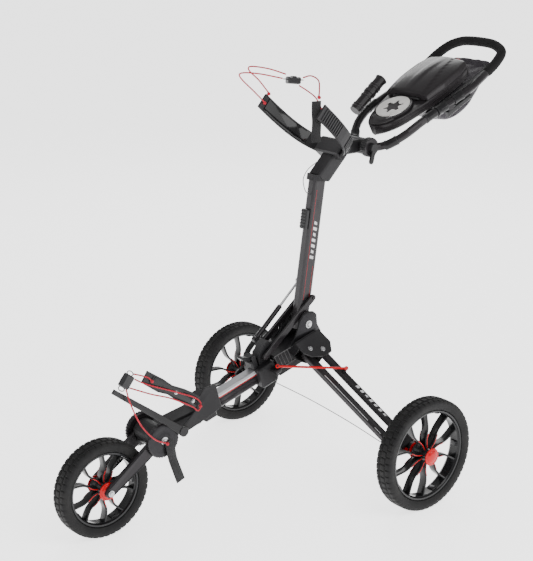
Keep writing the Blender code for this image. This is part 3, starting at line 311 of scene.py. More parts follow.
    s = Surface("floor", (0.93, 0.93, 0.93), 0.85)
    s.shader.inputs["Emission Color"].default_value = (1.0, 1.0, 1.0, 1.0)
    s.shader.inputs["Emission Strength"].default_value = 2.1
    s.blotches((0.91, 0.91, 0.915), 3.0).relief(s.noise(120.0), 0.0001).done(0.05)


make_materials()
NODE_LOOKS = {"lower_tube": "tube_stripes_and_painted_light"}
for name, cad_node in frame["nodes"].items():
    slot = next(part["material_slot"] for part in frame["record"]["subparts"] if part["node"] == name)
    look = MATERIALS[NODE_LOOKS.get(name, slot)]
    if cad_node.material_slots:
        for each in cad_node.material_slots:
            each.material = look
    else:
        cad_node.data.materials.append(look)


# Shapes. Each is a bmesh in the cart frame.


def block(size, placing, bevel=0.0, segments=2):
    """A box about the placement's origin."""
    shape = bmesh.new()
    bmesh.ops.create_cube(shape, size=1.0)
    bmesh.ops.scale(shape, vec=size, verts=shape.verts)
    if bevel:
        bmesh.ops.bevel(
            shape, geom=shape.edges[:], offset=bevel, segments=segments, profile=0.5, affect="EDGES"
        )
    shape.transform(placing)
    return shape


def prism(outline, low, high, placing, bevel=0.0, segments=2):
    """An outline in the placement's plane, from one height to another."""
    shape = bmesh.new()
    floor = shape.faces.new([shape.verts.new((x, y, low)) for x, y in outline])
    raised = bmesh.ops.extrude_face_region(shape, geom=[floor])["geom"]
    top = [v for v in raised if isinstance(v, bmesh.types.BMVert)]
    bmesh.ops.translate(shape, verts=top, vec=(0.0, 0.0, high - low))
    if bevel:
        rims = [e for e in shape.edges if abs(e.verts[0].co.z - e.verts[1].co.z) < 1e-6]
        bmesh.ops.bevel(shape, geom=rims, offset=bevel, segments=segments, profile=0.5, affect="EDGES")
    bmesh.ops.recalc_face_normals(shape, faces=shape.faces)
    shape.transform(placing)
    return shape


def lofted(rings, placing=Matrix.Identity(4), closed=False):
    """Rings of points joined in turn, and capped at both ends unless the last joins the first."""
    shape = bmesh.new()
    loops = [[shape.verts.new(point) for point in ring] for ring in rings]
    count = len(loops[0])
    for lower, upper in zip(loops, loops[1:] + (loops[:1] if closed else [])):
        for i in range(count):
            j = (i + 1) % count
            shape.faces.new((lower[i], lower[j], upper[j], upper[i]))
    if not closed:
        shape.faces.new(loops[0])
        shape.faces.new(loops[-1])
    bmesh.ops.recalc_face_normals(shape, faces=shape.faces)
    shape.transform(placing)
    return shape


def turned(profile, placing, steps=48, closed=False):
    """A (radius, height) profile spun about the placement's Z."""
    turns = [2 * pi * i / steps for i in range(steps)]
    return lofted(
        [[(r * cos(a), r * sin(a), z) for a in turns] for r, z in profile], placing, closed
    )


def dome(radius, height, placing, steps=40):
    """A low rounded cap on a short straight rim."""
    lip = 0.0015
    profile = [(radius - lip, 0.0), (radius, lip)]
    for i in range(1, 9):
        a = pi / 2 * i / 9
        profile.append((radius * cos(a), lip + (height - lip) * sin(a)))
    return turned(profile, placing, steps)


def circle(radius, sides):
    turns = [2 * pi * i / sides for i in range(sides)]
    return [(radius * cos(a), radius * sin(a)) for a in turns]


def rounded(half_x, half_y, radius, corner_steps):
    """A rectangle's outline with rounded corners."""
    points = []
    for quarter, (sx, sy) in enumerate(((1, 1), (-1, 1), (-1, -1), (1, -1))):
        for i in range(corner_steps + 1):
            a = (quarter + i / corner_steps) * pi / 2
            points.append(
                (sx * (half_x - radius) + radius * cos(a), sy * (half_y - radius) + radius * sin(a))
            )
    return points


def smooth_path(points, spacing):
    """Points at an even spacing on a smooth curve through the given ones."""
    points = [Vector(p) for p in points]
    ends = [2 * points[0] - points[1], *points, 2 * points[-1] - points[-2]]
    fine = []
    for a, b, c, d in zip(ends, ends[1:], ends[2:], ends[3:]):
        for i in range(24):
            t = i / 24
            fine.append(
                0.5 * (
                    2 * b + (c - a) * t + (2 * a - 5 * b + 4 * c - d) * t**2 + (3 * b - a - 3 * c + d) * t**3
                )
            )
    fine.append(points[-1])
    length = sum((q - p).length for p, q in zip(fine, fine[1:]))
    steps = max(2, round(length / spacing))
    even, walked, goal = [fine[0]], 0.0, length / steps
    for p, q in zip(fine, fine[1:]):
        span = (q - p).length
        while span and walked + span >= goal * len(even) and len(even) < steps:
            even.append(p.lerp(q, (goal * len(even) - walked) / span))
        walked += span
    return even + [fine[-1]]


def swept(path, section, flat_axis, scale=lambda share: 1.0):
    """A section carried along a path, its Y kept near flat_axis. The scale may vary along the way."""
    path = [Vector(p) for p in path]
    flat_axis = Vector(flat_axis)
    rings = []
    for i, point in enumerate(path):
        heading = (path[min(i + 1, len(path) - 1)] - path[max(i - 1, 0)]).normalized()
        side = flat_axis.cross(heading).normalized()
        up = heading.cross(side)
        size = scale(i / (len(path) - 1))
        rings.append([point + (side * x + up * y) * size for x, y in section])
    return lofted(rings)


def mirrored(shape):
    """A copy for the cart's other side."""
    copy = shape.copy()
    bmesh.ops.scale(copy, vec=(-1.0, 1.0, 1.0), verts=copy.verts)
    bmesh.ops.reverse_faces(copy, faces=copy.faces)
    return copy


def together(*shapes):
    """Several closed shapes as one. It uses them up."""
    whole = bmesh.new()
    for shape in shapes:
        mesh = bpy.data.meshes.new("part")
        shape.to_mesh(mesh)
        shape.free()
        whole.from_mesh(mesh)
        bpy.data.meshes.remove(mesh)
    return whole


def face_outwards(shape):
    shape.normal_update()
    bmesh.ops.recalc_face_normals(shape, faces=shape.faces)
    if shape.calc_volume(signed=True) < 0:
        bmesh.ops.reverse_faces(shape, faces=shape.faces)


def around(i, count, offset):
    """The turn to the i-th of count places round Z, then the offset."""
    return Matrix.Rotation(2 * pi * i / count, 4, "Z") @ Matrix.Translation(offset)


def strip(a, b, low_y, high_y, low, high, placing, **options):
    """A rectangle along the placement's X, from one height to another."""
    return prism([(a, low_y), (b, low_y), (b, high_y), (a, high_y)], low, high, placing, **options)


def slash(x, reach, width, lean, low, high, placing):
    """A slanted bar across the placement's X, in place of a printed letter."""
    corners = [(x, -reach), (x + width, -reach), (x + width + lean, reach), (x + lean, reach)]
    return prism(corners, low, high, placing)


def knot(spot, x_axis, z_axis, radius, shoulder, half):
    """A small knot in a cord, seen as a bead."""
    profile = [(0.0012, -half), (0.0036, -shoulder), (radius, 0.0), (0.0036, shoulder), (0.0012, half)]
    return turned(profile, placed(spot, x_axis, z_axis), 24)


def piece(name, shape, look, body, replaced=(), sharp=32.0, subdivide=0):
    """A shape, or a list of them, as one object with its material, riding on its body."""
    if isinstance(shape, list):
        shape = together(*shape)
    face_outwards(shape)
    shape.transform(CART)
    mesh = bpy.data.meshes.new(name)
    shape.to_mesh(mesh)
    shape.free()
    mesh.materials.append(MATERIALS[look])
    mesh.shade_smooth()
    mesh.set_sharp_from_angle(angle=radians(sharp))
    made = bpy.data.objects.new(name, mesh)
    bpy.context.scene.collection.objects.link(made)
    if subdivide:
        change = made.modifiers.new("smooth", "SUBSURF")
        change.levels = change.render_levels = subdivide
    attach(made, body)
    if replaced:
        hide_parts(*replaced)
    return made


# Camera, light and floor.


CAMERA_PLACE = (-2.4840, 2.0681, 1.4921)
CAMERA_YAW, CAMERA_PITCH = radians(128.845), radians(-16.507)
FLOOR_HALF = 60.0
WORLD_STRENGTH = 0.66
LIT_POINT = Vector((0.0, 0.0, 0.5))
LAMPS = (
    ("key", (-2.6, 0.4, 3.4), 2.2, 58.0), ("fill", (1.0, 3.6, 2.2), 2.6, 34.0),
    ("back", (2.4, -2.4, 2.8), 2.0, 46.0), ("side", (-3.2, -1.6, 1.6), 1.4, 28.0),
)


def make_stage():
    scene = bpy.context.scene
    camera = bpy.data.objects.new("camera", bpy.data.cameras.new("camera"))
    camera.data.lens = 83.9
    camera.data.sensor_width = 36.0
    camera.data.clip_start, camera.data.clip_end = 0.05, 60.0
    camera.location = CAMERA_PLACE
    level = cos(CAMERA_PITCH)
    aim = Vector((sin(CAMERA_YAW) * level, cos(CAMERA_YAW) * level, sin(CAMERA_PITCH)))
    camera.rotation_mode = "QUATERNION"
    camera.rotation_quaternion = aim.to_track_quat("-Z", "Y")
    scene.collection.objects.link(camera)
    scene.camera = camera

    floor = bmesh.new()
    bmesh.ops.create_grid(floor, x_segments=8, y_segments=8, size=FLOOR_HALF)
    mesh = bpy.data.meshes.new("floor")
    floor.to_mesh(mesh)
    floor.free()
    mesh.materials.append(MATERIALS["floor"])
    ground = bpy.data.objects.new("floor", mesh)
    scene.collection.objects.link(ground)

    world = bpy.data.worlds.new("studio")
    world.use_nodes = True
    background = world.node_tree.nodes["Background"]
    background.inputs["Color"].default_value = (1.0, 1.0, 1.0, 1.0)
    background.inputs["Strength"].default_value = WORLD_STRENGTH
    scene.world = world
    for name, place, size, power in LAMPS:
        lamp = bpy.data.objects.new(name, bpy.data.lights.new(name, "AREA"))
        lamp.data.size, lamp.data.energy = size, power
        lamp.location = place
        lamp.rotation_mode = "QUATERNION"
        lamp.rotation_quaternion = (LIT_POINT - Vector(place)).to_track_quat("-Z", "Y")
        scene.collection.objects.link(lamp)


make_stage()


# Cords and cables.

CORD, CABLE = 0.0036, 0.0022
CORD_ROUTES = {
    "lower_cord_tip": (
        (-0.0670, 0.6010, 0.3895), (-0.070, 0.612, 0.402), (-0.070, 0.632, 0.412), (-0.066, 0.650, 0.419)
    ),
    "lower_cord_loop": (
        (-0.066, 0.6467, 0.4052), (-0.069, 0.630, 0.394), (-0.071, 0.598, 0.377), (-0.071, 0.534, 0.347),
        (-0.070, 0.478, 0.318), (-0.070, 0.461, 0.298), (-0.070, 0.470, 0.282), (-0.071, 0.489, 0.299),
        (-0.072, 0.552, 0.336), (-0.072, 0.605, 0.359), (-0.066, 0.6614, 0.3868)
    ),
    "lower_cord_drop": (
        (-0.0735, 0.676, 0.388), (-0.079, 0.668, 0.350), (-0.078, 0.640, 0.290), (-0.074, 0.600, 0.243),
        (-0.0665, 0.561, 0.220)
    ),
    "upper_cord_bead": (
        (0.1075, 0.118, 0.980), (0.100, 0.158, 1.012), (0.085, 0.212, 1.052), (0.066, 0.226, 1.068),
        (0.044, 0.190, 1.066), (0.0205, 0.132, 1.052)
    ),
    "upper_cord_loop": (
        (0.1075, 0.104, 1.002), (0.096, 0.146, 1.040), (0.080, 0.190, 1.070), (0.066, 0.196, 1.082),
        (0.040, 0.160, 1.076), (0.0165, 0.124, 1.0620)
    ),
    "upper_cord_near": (
        (-0.0030, 0.0850, 1.052), (-0.022, 0.076, 1.058), (-0.062, 0.086, 1.052), (-0.088, 0.105, 1.034),
        (-0.0985, 0.116, 1.016)
    ),
    "upper_cord_low": (
        (0.0010, 0.0945, 1.0330), (-0.020, 0.083, 1.020), (-0.056, 0.090, 1.010), (-0.084, 0.100, 0.996),
        (-0.0985, 0.106, 0.986)
    )
}
NECK_CABLE = (
    (0.0, 0.0600, 0.7505), (0.004, 0.070, 0.764), (0.006, 0.074, 0.792), (0.004, 0.060, 0.816),
    (0.0, 0.0335, 0.8330)
)
BRAKE_CABLE = (
    (-0.026, 0.192, 0.2770), (-0.110, 0.140, 0.2400), (-0.200, 0.088, 0.1950), (-0.2760, 0.040, 0.1480),
    (-0.3060, 0.020, 0.1320)
)


def free_cord(name, route, diameter, look, body):
    """A cord along its CAD route. All of it rides on one body."""
    points = [row(p) for p in smooth_path(route, 2 * diameter)]
    curve = bpy.data.curves.new(name, "CURVE")
    curve.dimensions = "3D"
    curve.bevel_depth = diameter / 2
    curve.bevel_resolution = 4
    curve.use_fill_caps = True
    spline = curve.splines.new("POLY")
    spline.points.add(len(points) - 1)
    for spot, point in zip(spline.points, points):
        spot.co = (*point, 1.0)
    curve.materials.append(MATERIALS[look])
    made = bpy.data.objects.new(name + "_line", curve)
    bpy.context.scene.collection.objects.link(made)
    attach(made, body)
    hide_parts(name)


for cord_name, route in CORD_ROUTES.items():
    holder = "chassis" if cord_name.startswith("lower") else "upright"
    free_cord(cord_name, route, CORD, "cord", holder)
free_cord("neck_cable", NECK_CABLE, CABLE, "cable", "upright")
free_cord("brake_cable", BRAKE_CABLE, CABLE, "cable", "chassis")


# Wheels.

RIM_INSET = 0.0284
TREAD_DEPTH = 0.0024
SPOKE_PAIRS = 5


def tread_tyre(radius, placing, blocks):
    """A tyre with staggered tread blocks across its crown and a ribbed shoulder."""
    half = TYRE_WIDTH / 2
    inner = radius - 0.028
    # Each entry is a radius, a share of the half width and a kind.
    section = [
        (inner, -0.70, 0), (inner + 0.0015, -0.82, 0), (inner + 0.005, -0.89, 0), (inner + 0.010, -0.97, 0),
        (radius - 0.0125, -0.995, 0), (radius - 0.0085, -0.99, 1), (radius - 0.0045, -0.94, 1),
        (radius - 0.0018, -0.86, 1), (radius - 0.0006, -0.70, 1), (radius - 0.0002, -0.50, 1),
        (radius - 0.0002, -0.36, 2), (radius - 0.0002, -0.26, 3), (radius, -0.12, 3), (radius, 0.0, 3),
        (radius, 0.12, 3), (radius - 0.0002, 0.26, 3), (radius - 0.0002, 0.36, 2), (radius - 0.0002, 0.50, 4),
        (radius - 0.0006, 0.70, 4), (radius - 0.0018, 0.86, 4), (radius - 0.0045, 0.94, 4),
        (radius - 0.0085, 0.99, 4), (radius - 0.0125, 0.995, 0), (inner + 0.010, 0.97, 0),
        (inner + 0.005, 0.89, 0), (inner + 0.0015, 0.82, 0), (inner, 0.70, 0)
    ]
    steps = blocks * 6
    rings = []
    for i in range(steps):
        a = 2 * pi * i / steps
        # By kind: casing, near shoulder, groove, crown, far shoulder. True where the tread is cut.
        cut_here = (False, i % 6 == 0, True, (i + 2) % 6 == 0, (i + 3) % 6 == 0)
        ring = []
        for r, share, kind in section:
            reach = r - (TREAD_DEPTH if cut_here[kind] else 0.0)
            ring.append((reach * cos(a), reach * sin(a), share * half))
        rings.append(ring)
    return lofted(rings, placing, closed=True)


def spoke_path(outer, side):
    """The middle line of one bent blade, from the hub to the rim, in the wheel's plane."""
    points = ((0.13 * outer, 0.0035), (0.34 * outer, 0.0095), (0.57 * outer, 0.0235), (outer - 0.004, 0.0280))
    return smooth_path([(x, side * y, 0.0) for x, y in points], 0.006)


def detailed_rim(radius, placing):
    """A one-piece rim: a lipped channel, a waisted hub and five pairs of bent blade spokes."""
    outer = radius - RIM_INSET
    channel = turned(
        [
            (outer - 0.0060, -0.0150), (outer - 0.0052, -0.0172), (outer - 0.0012, -0.0180), (outer, -0.0168),
            (outer, 0.0168), (outer - 0.0012, 0.0180), (outer - 0.0052, 0.0172), (outer - 0.0060, 0.0150),
            (outer - 0.0085, 0.0120), (outer - 0.0080, 0.0), (outer - 0.0085, -0.0120)
        ],
        Matrix.Identity(4), 120, closed=True
    )
    hub = turned(
        [
            (0.0070, -0.0262), (0.0165, -0.0262), (0.0185, -0.0245), (0.0190, -0.0140), (0.0170, -0.0090),
            (0.0170, 0.0090), (0.0190, 0.0140), (0.0185, 0.0245), (0.0165, 0.0262), (0.0070, 0.0262)
        ],
        Matrix.Identity(4), 48, closed=True
    )

    def waist(share):
        return 1.0 - 0.16 * sin(pi * share)

    blades = []
    for pair in range(SPOKE_PAIRS):
        for side in (-1, 1):
            section = rounded(0.0031, 0.0130, 0.0022, 3)
            blade = swept(spoke_path(outer, side), section, (0.0, 0.0, 1.0), waist)
            blade.transform(around(pair, SPOKE_PAIRS, (0.0, 0.0, 0.0)))
            blades.append(blade)
    shape = together(channel, hub, *blades)
    shape.transform(placing)
    return shape


def hub_trim(radius, placing):
    """The red domed caps and the red lines along the spokes' roots, on both faces."""
    outer = radius - RIM_INSET
    shapes = []
    for face in (-1, 1):
        flip = Matrix.Identity(4) if face > 0 else Matrix.Rotation(pi, 4, "X")
        shapes.append(
            turned(
                [
                    (0.0205, 0.0265), (0.0228, 0.0272), (0.0222, 0.0290), (0.0190, 0.0302), (0.0176, 0.0298),
                    (0.0168, 0.0306), (0.0120, 0.0328), (0.0060, 0.0338), (0.0010, 0.0340)
                ],
                flip, 48
            )
        )
        for pair in range(SPOKE_PAIRS):
            for side in (-1, 1):
                path = [(p.x, p.y, 0.01325) for p in spoke_path(outer, side) if p.x < 0.50 * outer]
                line = swept(path, rounded(0.0009, 0.0006, 0.0003, 1), (0.0, 0.0, 1.0))
                line.transform(flip @ around(pair, SPOKE_PAIRS, (0.0, 0.0, 0.0)))
                shapes.append(line)
    shape = together(*shapes)
    shape.transform(placing)
    return shape


def rim_bosses(radius, placing):
    """Small moulded bosses inside the rim, midway between the spoke pairs."""
    place = (radius - RIM_INSET - 0.0085, 0.0, 0.0)
    shape = together(
        *[
            block((0.006, 0.014, 0.020), around(pair + 0.5, SPOKE_PAIRS, place), 0.0015)
            for pair in range(SPOKE_PAIRS)
        ]
    )
    shape.transform(placing)
    return shape


for wheel_name, body, centre, radius, blocks in (
    ("left_wheel", "wheel_left", (-TRACK / 2, 0.0, REAR_RADIUS), REAR_RADIUS, 54),
    ("right_wheel", "wheel_right", (TRACK / 2, 0.0, REAR_RADIUS), REAR_RADIUS, 54),
    ("front", "front_wheel", FRONT_AXLE, FRONT_RADIUS, 46),
):
    placing = across(centre)
    piece(f"{wheel_name}_tread", tread_tyre(radius, placing, blocks), "tyre", body, (f"{wheel_name}_tyre",))
    piece(f"{wheel_name}_spokes", detailed_rim(radius, placing), "rim", body, (f"{wheel_name}_rim",))
    piece(f"{wheel_name}_bosses", rim_bosses(radius, placing), "rim", body)
    piece(f"{wheel_name}_trim", hub_trim(radius, placing), "red", body)


# Console.

CONSOLE_PLAN = (
    (-0.088, 0.010), (-0.070, 0.034), (-0.040, 0.054), (0.000, 0.066), (0.050, 0.076), (0.120, 0.083),
    (0.190, 0.080), (0.228, 0.068), (0.240, 0.040)
)
CUP_RADIUS = 0.036
LID_FRONT, LID_BACK = 0.0565, 0.2335


def console_half_width(a):
    """Half the console's width at a distance behind its origin."""
    plan = [(-0.0885, 0.0), *CONSOLE_PLAN, (0.2415, 0.0)]
    for (a0, x0), (a1, x1) in zip(plan, plan[1:]):
        if a0 <= a <= a1:
            return x0 + (x1 - x0) * (a - a0) / (a1 - a0)
    return 0.0


def lid_height(a, x):
    """The lid's outer height above the console's plane."""
    across_fall = 1 - (x / 0.115) ** 2
    along_rise = sin(pi * min(1.0, max(0.0, (a - 0.012) / 0.262))) ** 0.7
    return -0.004 + 0.028 * along_rise * across_fall


def lid_shell():
    """The domed lid, with a raised spine, two swept creases and a rolled edge."""
    rows, columns = 60, 48
    shape = bmesh.new()
    top = []
    for i in range(rows + 1):
        a = LID_FRONT + (LID_BACK - LID_FRONT) * i / rows
        line = []
        for k in range(columns + 1):
            w = -1 + 2 * k / columns
            x = w * (console_half_width(a) - 0.0006)
            edge = min(1.0, (1 - abs(w)) / 0.05, (i + 0.4) / 2.5, (rows - i + 0.4) / 2.5)
            crease = abs(w) - (0.80 - 0.42 * ((a - 0.056) / 0.178))
            groove = 0.0016 * exp(-((crease / 0.018) ** 2))
            spine = 0.0022 * exp(-((w / 0.16) ** 4)) * sin(pi * i / rows)
            flank = 0.0016 * (1 if crease > 0 else 0) * min(1.0, abs(crease) / 0.05)
            h = lid_height(a, x) - 0.0010 - groove + spine - flank - 0.0030 * (1 - sqrt(max(0.0, edge)))
            line.append(shape.verts.new((a, x, h)))
        top.append(line)
    for before, after in zip(top, top[1:]):
        for k in range(columns):
            shape.faces.new((before[k], before[k + 1], after[k + 1], after[k]))
    loop = top[0] + [line[-1] for line in top[1:]] + top[-1][-2::-1] + [line[0] for line in top[-2:0:-1]]
    base = [shape.verts.new((v.co.x, v.co.y, -0.0092)) for v in loop]
    for i, v in enumerate(loop):
        j = (i + 1) % len(loop)
        shape.faces.new((v, loop[j], base[j], base[i]))
    shape.faces.new(base)
    shape.transform(CONSOLE)
    return shape


def smooth_outline(shrink):
    """The console's plan as one smooth closed loop, moved inwards. It never crosses its middle line."""
    half = smooth_path([(a, x, 0.0) for a, x in CONSOLE_PLAN], 0.006)
    left = [(p.x, max(0.003, p.y - shrink)) for p in half]
    return left + [(a, -x) for a, x in reversed(left)]


def console_tray():
    """The tray as a solid with a stepped rim, before its wells are cut."""
    steps = (
        (0.016, -0.0360), (0.006, -0.0352), (0.0015, -0.0310), (0.0022, -0.0215), (0.0008, -0.0205),
        (0.0008, -0.0125), (0.0025, -0.0103), (0.0060, -0.0100),
    )
    return lofted([[(a, x, h) for a, x in smooth_outline(shrink)] for shrink, h in steps], CONSOLE)


def cut(base, *tools):
    """The base with each tool's solid taken away."""
    objects = []
    for shape in (base, *tools):
        face_outwards(shape)
        mesh = bpy.data.meshes.new("tool")
        shape.to_mesh(mesh)
        shape.free()
        tool = bpy.data.objects.new("tool", mesh)
        bpy.context.scene.collection.objects.link(tool)
        objects.append(tool)
    for tool in objects[1:]:
        change = objects[0].modifiers.new("cut", "BOOLEAN")
        change.operation, change.object = "DIFFERENCE", tool
    bpy.context.view_layer.update()
    result = bmesh.new()
    result.from_object(objects[0], bpy.context.evaluated_depsgraph_get())
    for tool in objects:
        mesh = tool.data
        bpy.data.objects.remove(tool)
        bpy.data.meshes.remove(mesh)
    return result


def cup_surround():
    """The raised rim round the cup hole, pulled out towards the console's nose."""
    profile = (
        (0.0, -0.0300), (0.0, -0.0052), (0.0010, -0.0034), (0.0150, -0.0034), (0.0170, -0.0044),
        (0.0180, -0.0080)
    )
    steps = 72
    loops = []
    for out, h in profile:
        loop = []
        for i in range(steps):
            angle = 2 * pi * i / steps
            nose = max(0.0, cos(angle - pi)) ** 6
            reach = CUP_RADIUS + (0.0120 + out * (0.30 + 0.88 * nose) if out else 0.0118)
            a, x = reach * cos(angle), reach * sin(angle)
            limit = console_half_width(max(-0.086, a)) - 0.002
            loop.append((min(a, 0.0538), max(-limit, min(limit, x)), h))
        loops.append(loop)
    return lofted(loops, CONSOLE, closed=True)


piece("lid_shell", lid_shell(), "console", "lid", ("console_lid",), sharp=50.0)
tray = cut(console_tray(), turned([(CUP_RADIUS, -0.1), (CUP_RADIUS, 0.1)], CONSOLE, 64),
           block((0.152, 0.124, 0.05), CONSOLE @ Matrix.Translation((0.144, 0.0, -0.008)), 0.006))
piece("console_tray", tray, "console", "handle", ("console_base",))
piece("cup_surround", cup_surround(), "console", "handle")
NOSE = (
    (-0.080, -0.010), (-0.066, -0.030), (-0.044, -0.043), (-0.0385, 0.0), (-0.044, 0.043), (-0.066, 0.030),
    (-0.080, 0.010)
)
piece("nose_plate", prism(NOSE, -0.0100, -0.0050, CONSOLE, 0.0012), "console", "handle")
tab = together(
    *[
        block((0.009, 0.013, 0.009), CONSOLE @ Matrix.Translation((0.2392, x, -0.0035)), 0.0012)
        for x in (-0.026, 0.026)
    ]
)
piece("lid_tabs", tab, "red", "handle")
hinge_bar = turned(
    [(0.0030, -0.048), (0.0030, 0.048)],
    placed(CONSOLE @ Vector((0.0525, 0.0, -0.0062)), CONSOLE_BACK, X_AXIS), 20
)
piece("lid_hinge_bar", hinge_bar, "pad", "handle")


# Grip, pouch and handle fittings.

GRIP_SIDE = (
    (-0.112, -0.466, 1.0286), (-0.111, -0.505, 1.054), (-0.098, -0.540, 1.078), (-0.066, -0.552, 1.092),
    (-0.030, -0.554, 1.097)
)
GRIP_LOOP = [*GRIP_SIDE, *[(-x, y, z) for x, y, z in reversed(GRIP_SIDE)]]
LOOP_SIDE = X_AXIS.cross(CONSOLE_BACK)
WRAP_TURNS = 34


def foam_grip():
    """The foam sleeve, with a soft waviness from its spiral wrap and rounded ends."""
    path = smooth_path(GRIP_LOOP, 0.0022)

    def size(share):
        wrap = 1.0 - 0.030 * abs(sin(pi * WRAP_TURNS * share)) ** 6
        ends = min(1.0, 0.86 + 8.0 * share, 0.86 + 8.0 * (1 - share))
        return wrap * ends

    return swept(path, circle(0.0131, 32), LOOP_SIDE, size)


grip = piece("foam_grip", foam_grip(), "foam", "handle", ("handle_grip",), sharp=60.0)

POUCH_LOW, POUCH_HIGH, POUCH_HALF = 0.052, 0.316, 0.081


def pouch_depth(a):
    """How far the pouch's belly hangs below the console's plane."""
    share = (a - POUCH_LOW) / (POUCH_HIGH - POUCH_LOW)
    return 0.044 + 0.074 * sin(pi * min(1.0, share * 1.02) ** 0.72) ** 0.8


def pouch():
    """A hung fabric shell, pinched at its mouth, with folds that run down from the rim."""
    rows, turns = 64, 72
    shape = bmesh.new()
    rings = []
    for i in range(rows + 1):
        share = i / rows
        a = POUCH_LOW + 0.002 + (POUCH_HIGH - POUCH_LOW - 0.004) * share
        close = min(1.0, sqrt(max(0.02, 1 - (abs(2 * share - 1)) ** 7)))
        top = -0.0405 - 0.010 * max(0.0, share - 0.72) / 0.28
        bottom = -pouch_depth(a)
        middle, tall = (top + bottom) / 2, (top - bottom) / 2 * close
        wide = (POUCH_HALF - 0.001 - 0.012 * share**3) * (0.80 + 0.20 * close)
        ring = []
        for k in range(turns):
            angle = 2 * pi * k / turns
            c, s = cos(angle), sin(angle)
            power = 0.55
            x = wide * copysign(abs(c) ** power, c)
            h = middle + tall * copysign(abs(s) ** power, s)
            spot = Vector((a * 9.0, x * 14.0, h * 20.0))
            fold = 0.0030 * sin(
                46.0 * a + 9.0 * x / wide + 3.0 * noise.noise(spot)
            ) * (0.4 + 0.6 * abs(c))
            crumple = 0.0040 * noise.noise(spot * 1.7) + 0.0016 * noise.noise(spot * 5.0)
            inward = -0.0040 + fold + crumple
            inward = min(0.0, inward) if s > 0.5 else min(0.0004, inward)
            x += copysign(inward * abs(c), x)
            h += inward * (1.0 if s > 0 else -1.0) * abs(s)
            ring.append(shape.verts.new((a, x, h)))
        rings.append(ring)
    for before, after in zip(rings, rings[1:]):
        for k in range(turns):
            m = (k + 1) % turns
            shape.faces.new((before[k], before[m], after[m], after[k]))
    for ring in (rings[0], rings[-1]):
        middle = shape.verts.new(sum((v.co for v in ring), Vector()) / turns)
        for k in range(turns):
            shape.faces.new((ring[k], ring[(k + 1) % turns], middle))
    shape.transform(CONSOLE)
    return shape


soft = piece("pouch_bag", pouch(), "fabric", "handle", ("storage_pouch",), sharp=180.0, subdivide=1)


def pouch_binding():
    """The black tape bound round the pouch's mouth and down its rear seam."""
    mouth = []
    for i in range(64):
        angle = 2 * pi * i / 64
        a = (POUCH_LOW + POUCH_HIGH) / 2 + 0.126 * copysign(abs(cos(angle)) ** 0.5, cos(angle))
        x = 0.0790 * copysign(abs(sin(angle)) ** 0.5, sin(angle))
        mouth.append(CONSOLE @ Vector((a, x, -0.0445 - 0.010 * max(0.0, a - 0.24) / 0.08)))
    mouth.append(mouth[0])
    return swept(mouth, rounded(0.0016, 0.0042, 0.0010, 2), CONSOLE_UP)


piece("pouch_binding", pouch_binding(), "webbing", "handle")


# Fasteners, ribs and printed marks.

SIDE = placed((0.0, 0.0, 0.0), Y_AXIS, X_AXIS)
CHEEK_FACE = -0.0346


def hex_head(placing, radius, height):
    """A hexagon head with a chamfer, on its washer, about the placement's Z."""
    washer = turned(
        [(radius * 1.28, 0.0), (radius * 1.28, height * 0.25), (radius * 1.20, height * 0.32)], placing, 32
    )
    head = prism([(radius * cos(pi / 3 * i), radius * sin(pi / 3 * i)) for i in range(6)],
                 height * 0.32, height, placing, height * 0.16)
    return together(washer, head)


def both(shape):
    """The shape and its mirror image."""
    other = mirrored(shape)
    return together(shape, other)


def lerp(a, b, share):
    return (a[0] + (b[0] - a[0]) * share, a[1] + (b[1] - a[1]) * share)


def ribbed_band():
    """A rack of small open cells between two rails along the left cheek's lower edge."""
    top, low = ((0.054, 0.390), (0.202, 0.351)), ((0.043, 0.360), (0.182, 0.313))
    shapes = []
    cells, half_rib, half_rail = 14, 0.0007, 0.0011
    for i in range(cells + 1):
        (ay, az), (by, bz) = lerp(*low, i / cells), lerp(*top, i / cells)
        outline = [(ay - half_rib, az), (ay + half_rib, az), (by + half_rib, bz), (by - half_rib, bz)]
        shapes.append(prism(outline, -0.0364, CHEEK_FACE, SIDE, 0.0003, 1))
    for (ay, az), (by, bz) in (low, top):
        outline = [(ay, az - half_rail), (by, bz - half_rail), (by, bz + half_rail), (ay, az + half_rail)]
        shapes.append(prism(outline, -0.0366, CHEEK_FACE, SIDE, 0.0004, 1))
    return together(*shapes)


piece("hub_ribs", both(ribbed_band()), "rib", "chassis")

CHEEK_TOP = (
    (0.146, 0.375), (0.132, 0.390), (0.1225, 0.411), (0.1165, 0.428), (0.103, 0.4435), (0.087, 0.448),
    (0.071, 0.445), (0.061, 0.437), (0.058, 0.410), (0.050, 0.396)
)
piece(
    "cheek_plates", both(prism(CHEEK_TOP, -0.0361, CHEEK_FACE, SIDE, 0.0007)), "dark_plate", "chassis",
)

pivot_heads = [
    hex_head(placed(UPRIGHT_PIVOT + X_AXIS * 0.0378 * side, Y_AXIS, X_AXIS * side), 0.0062, 0.0034)
    for side in (-1, 1)
]
piece("pivot_heads", pivot_heads, "silver", "chassis")

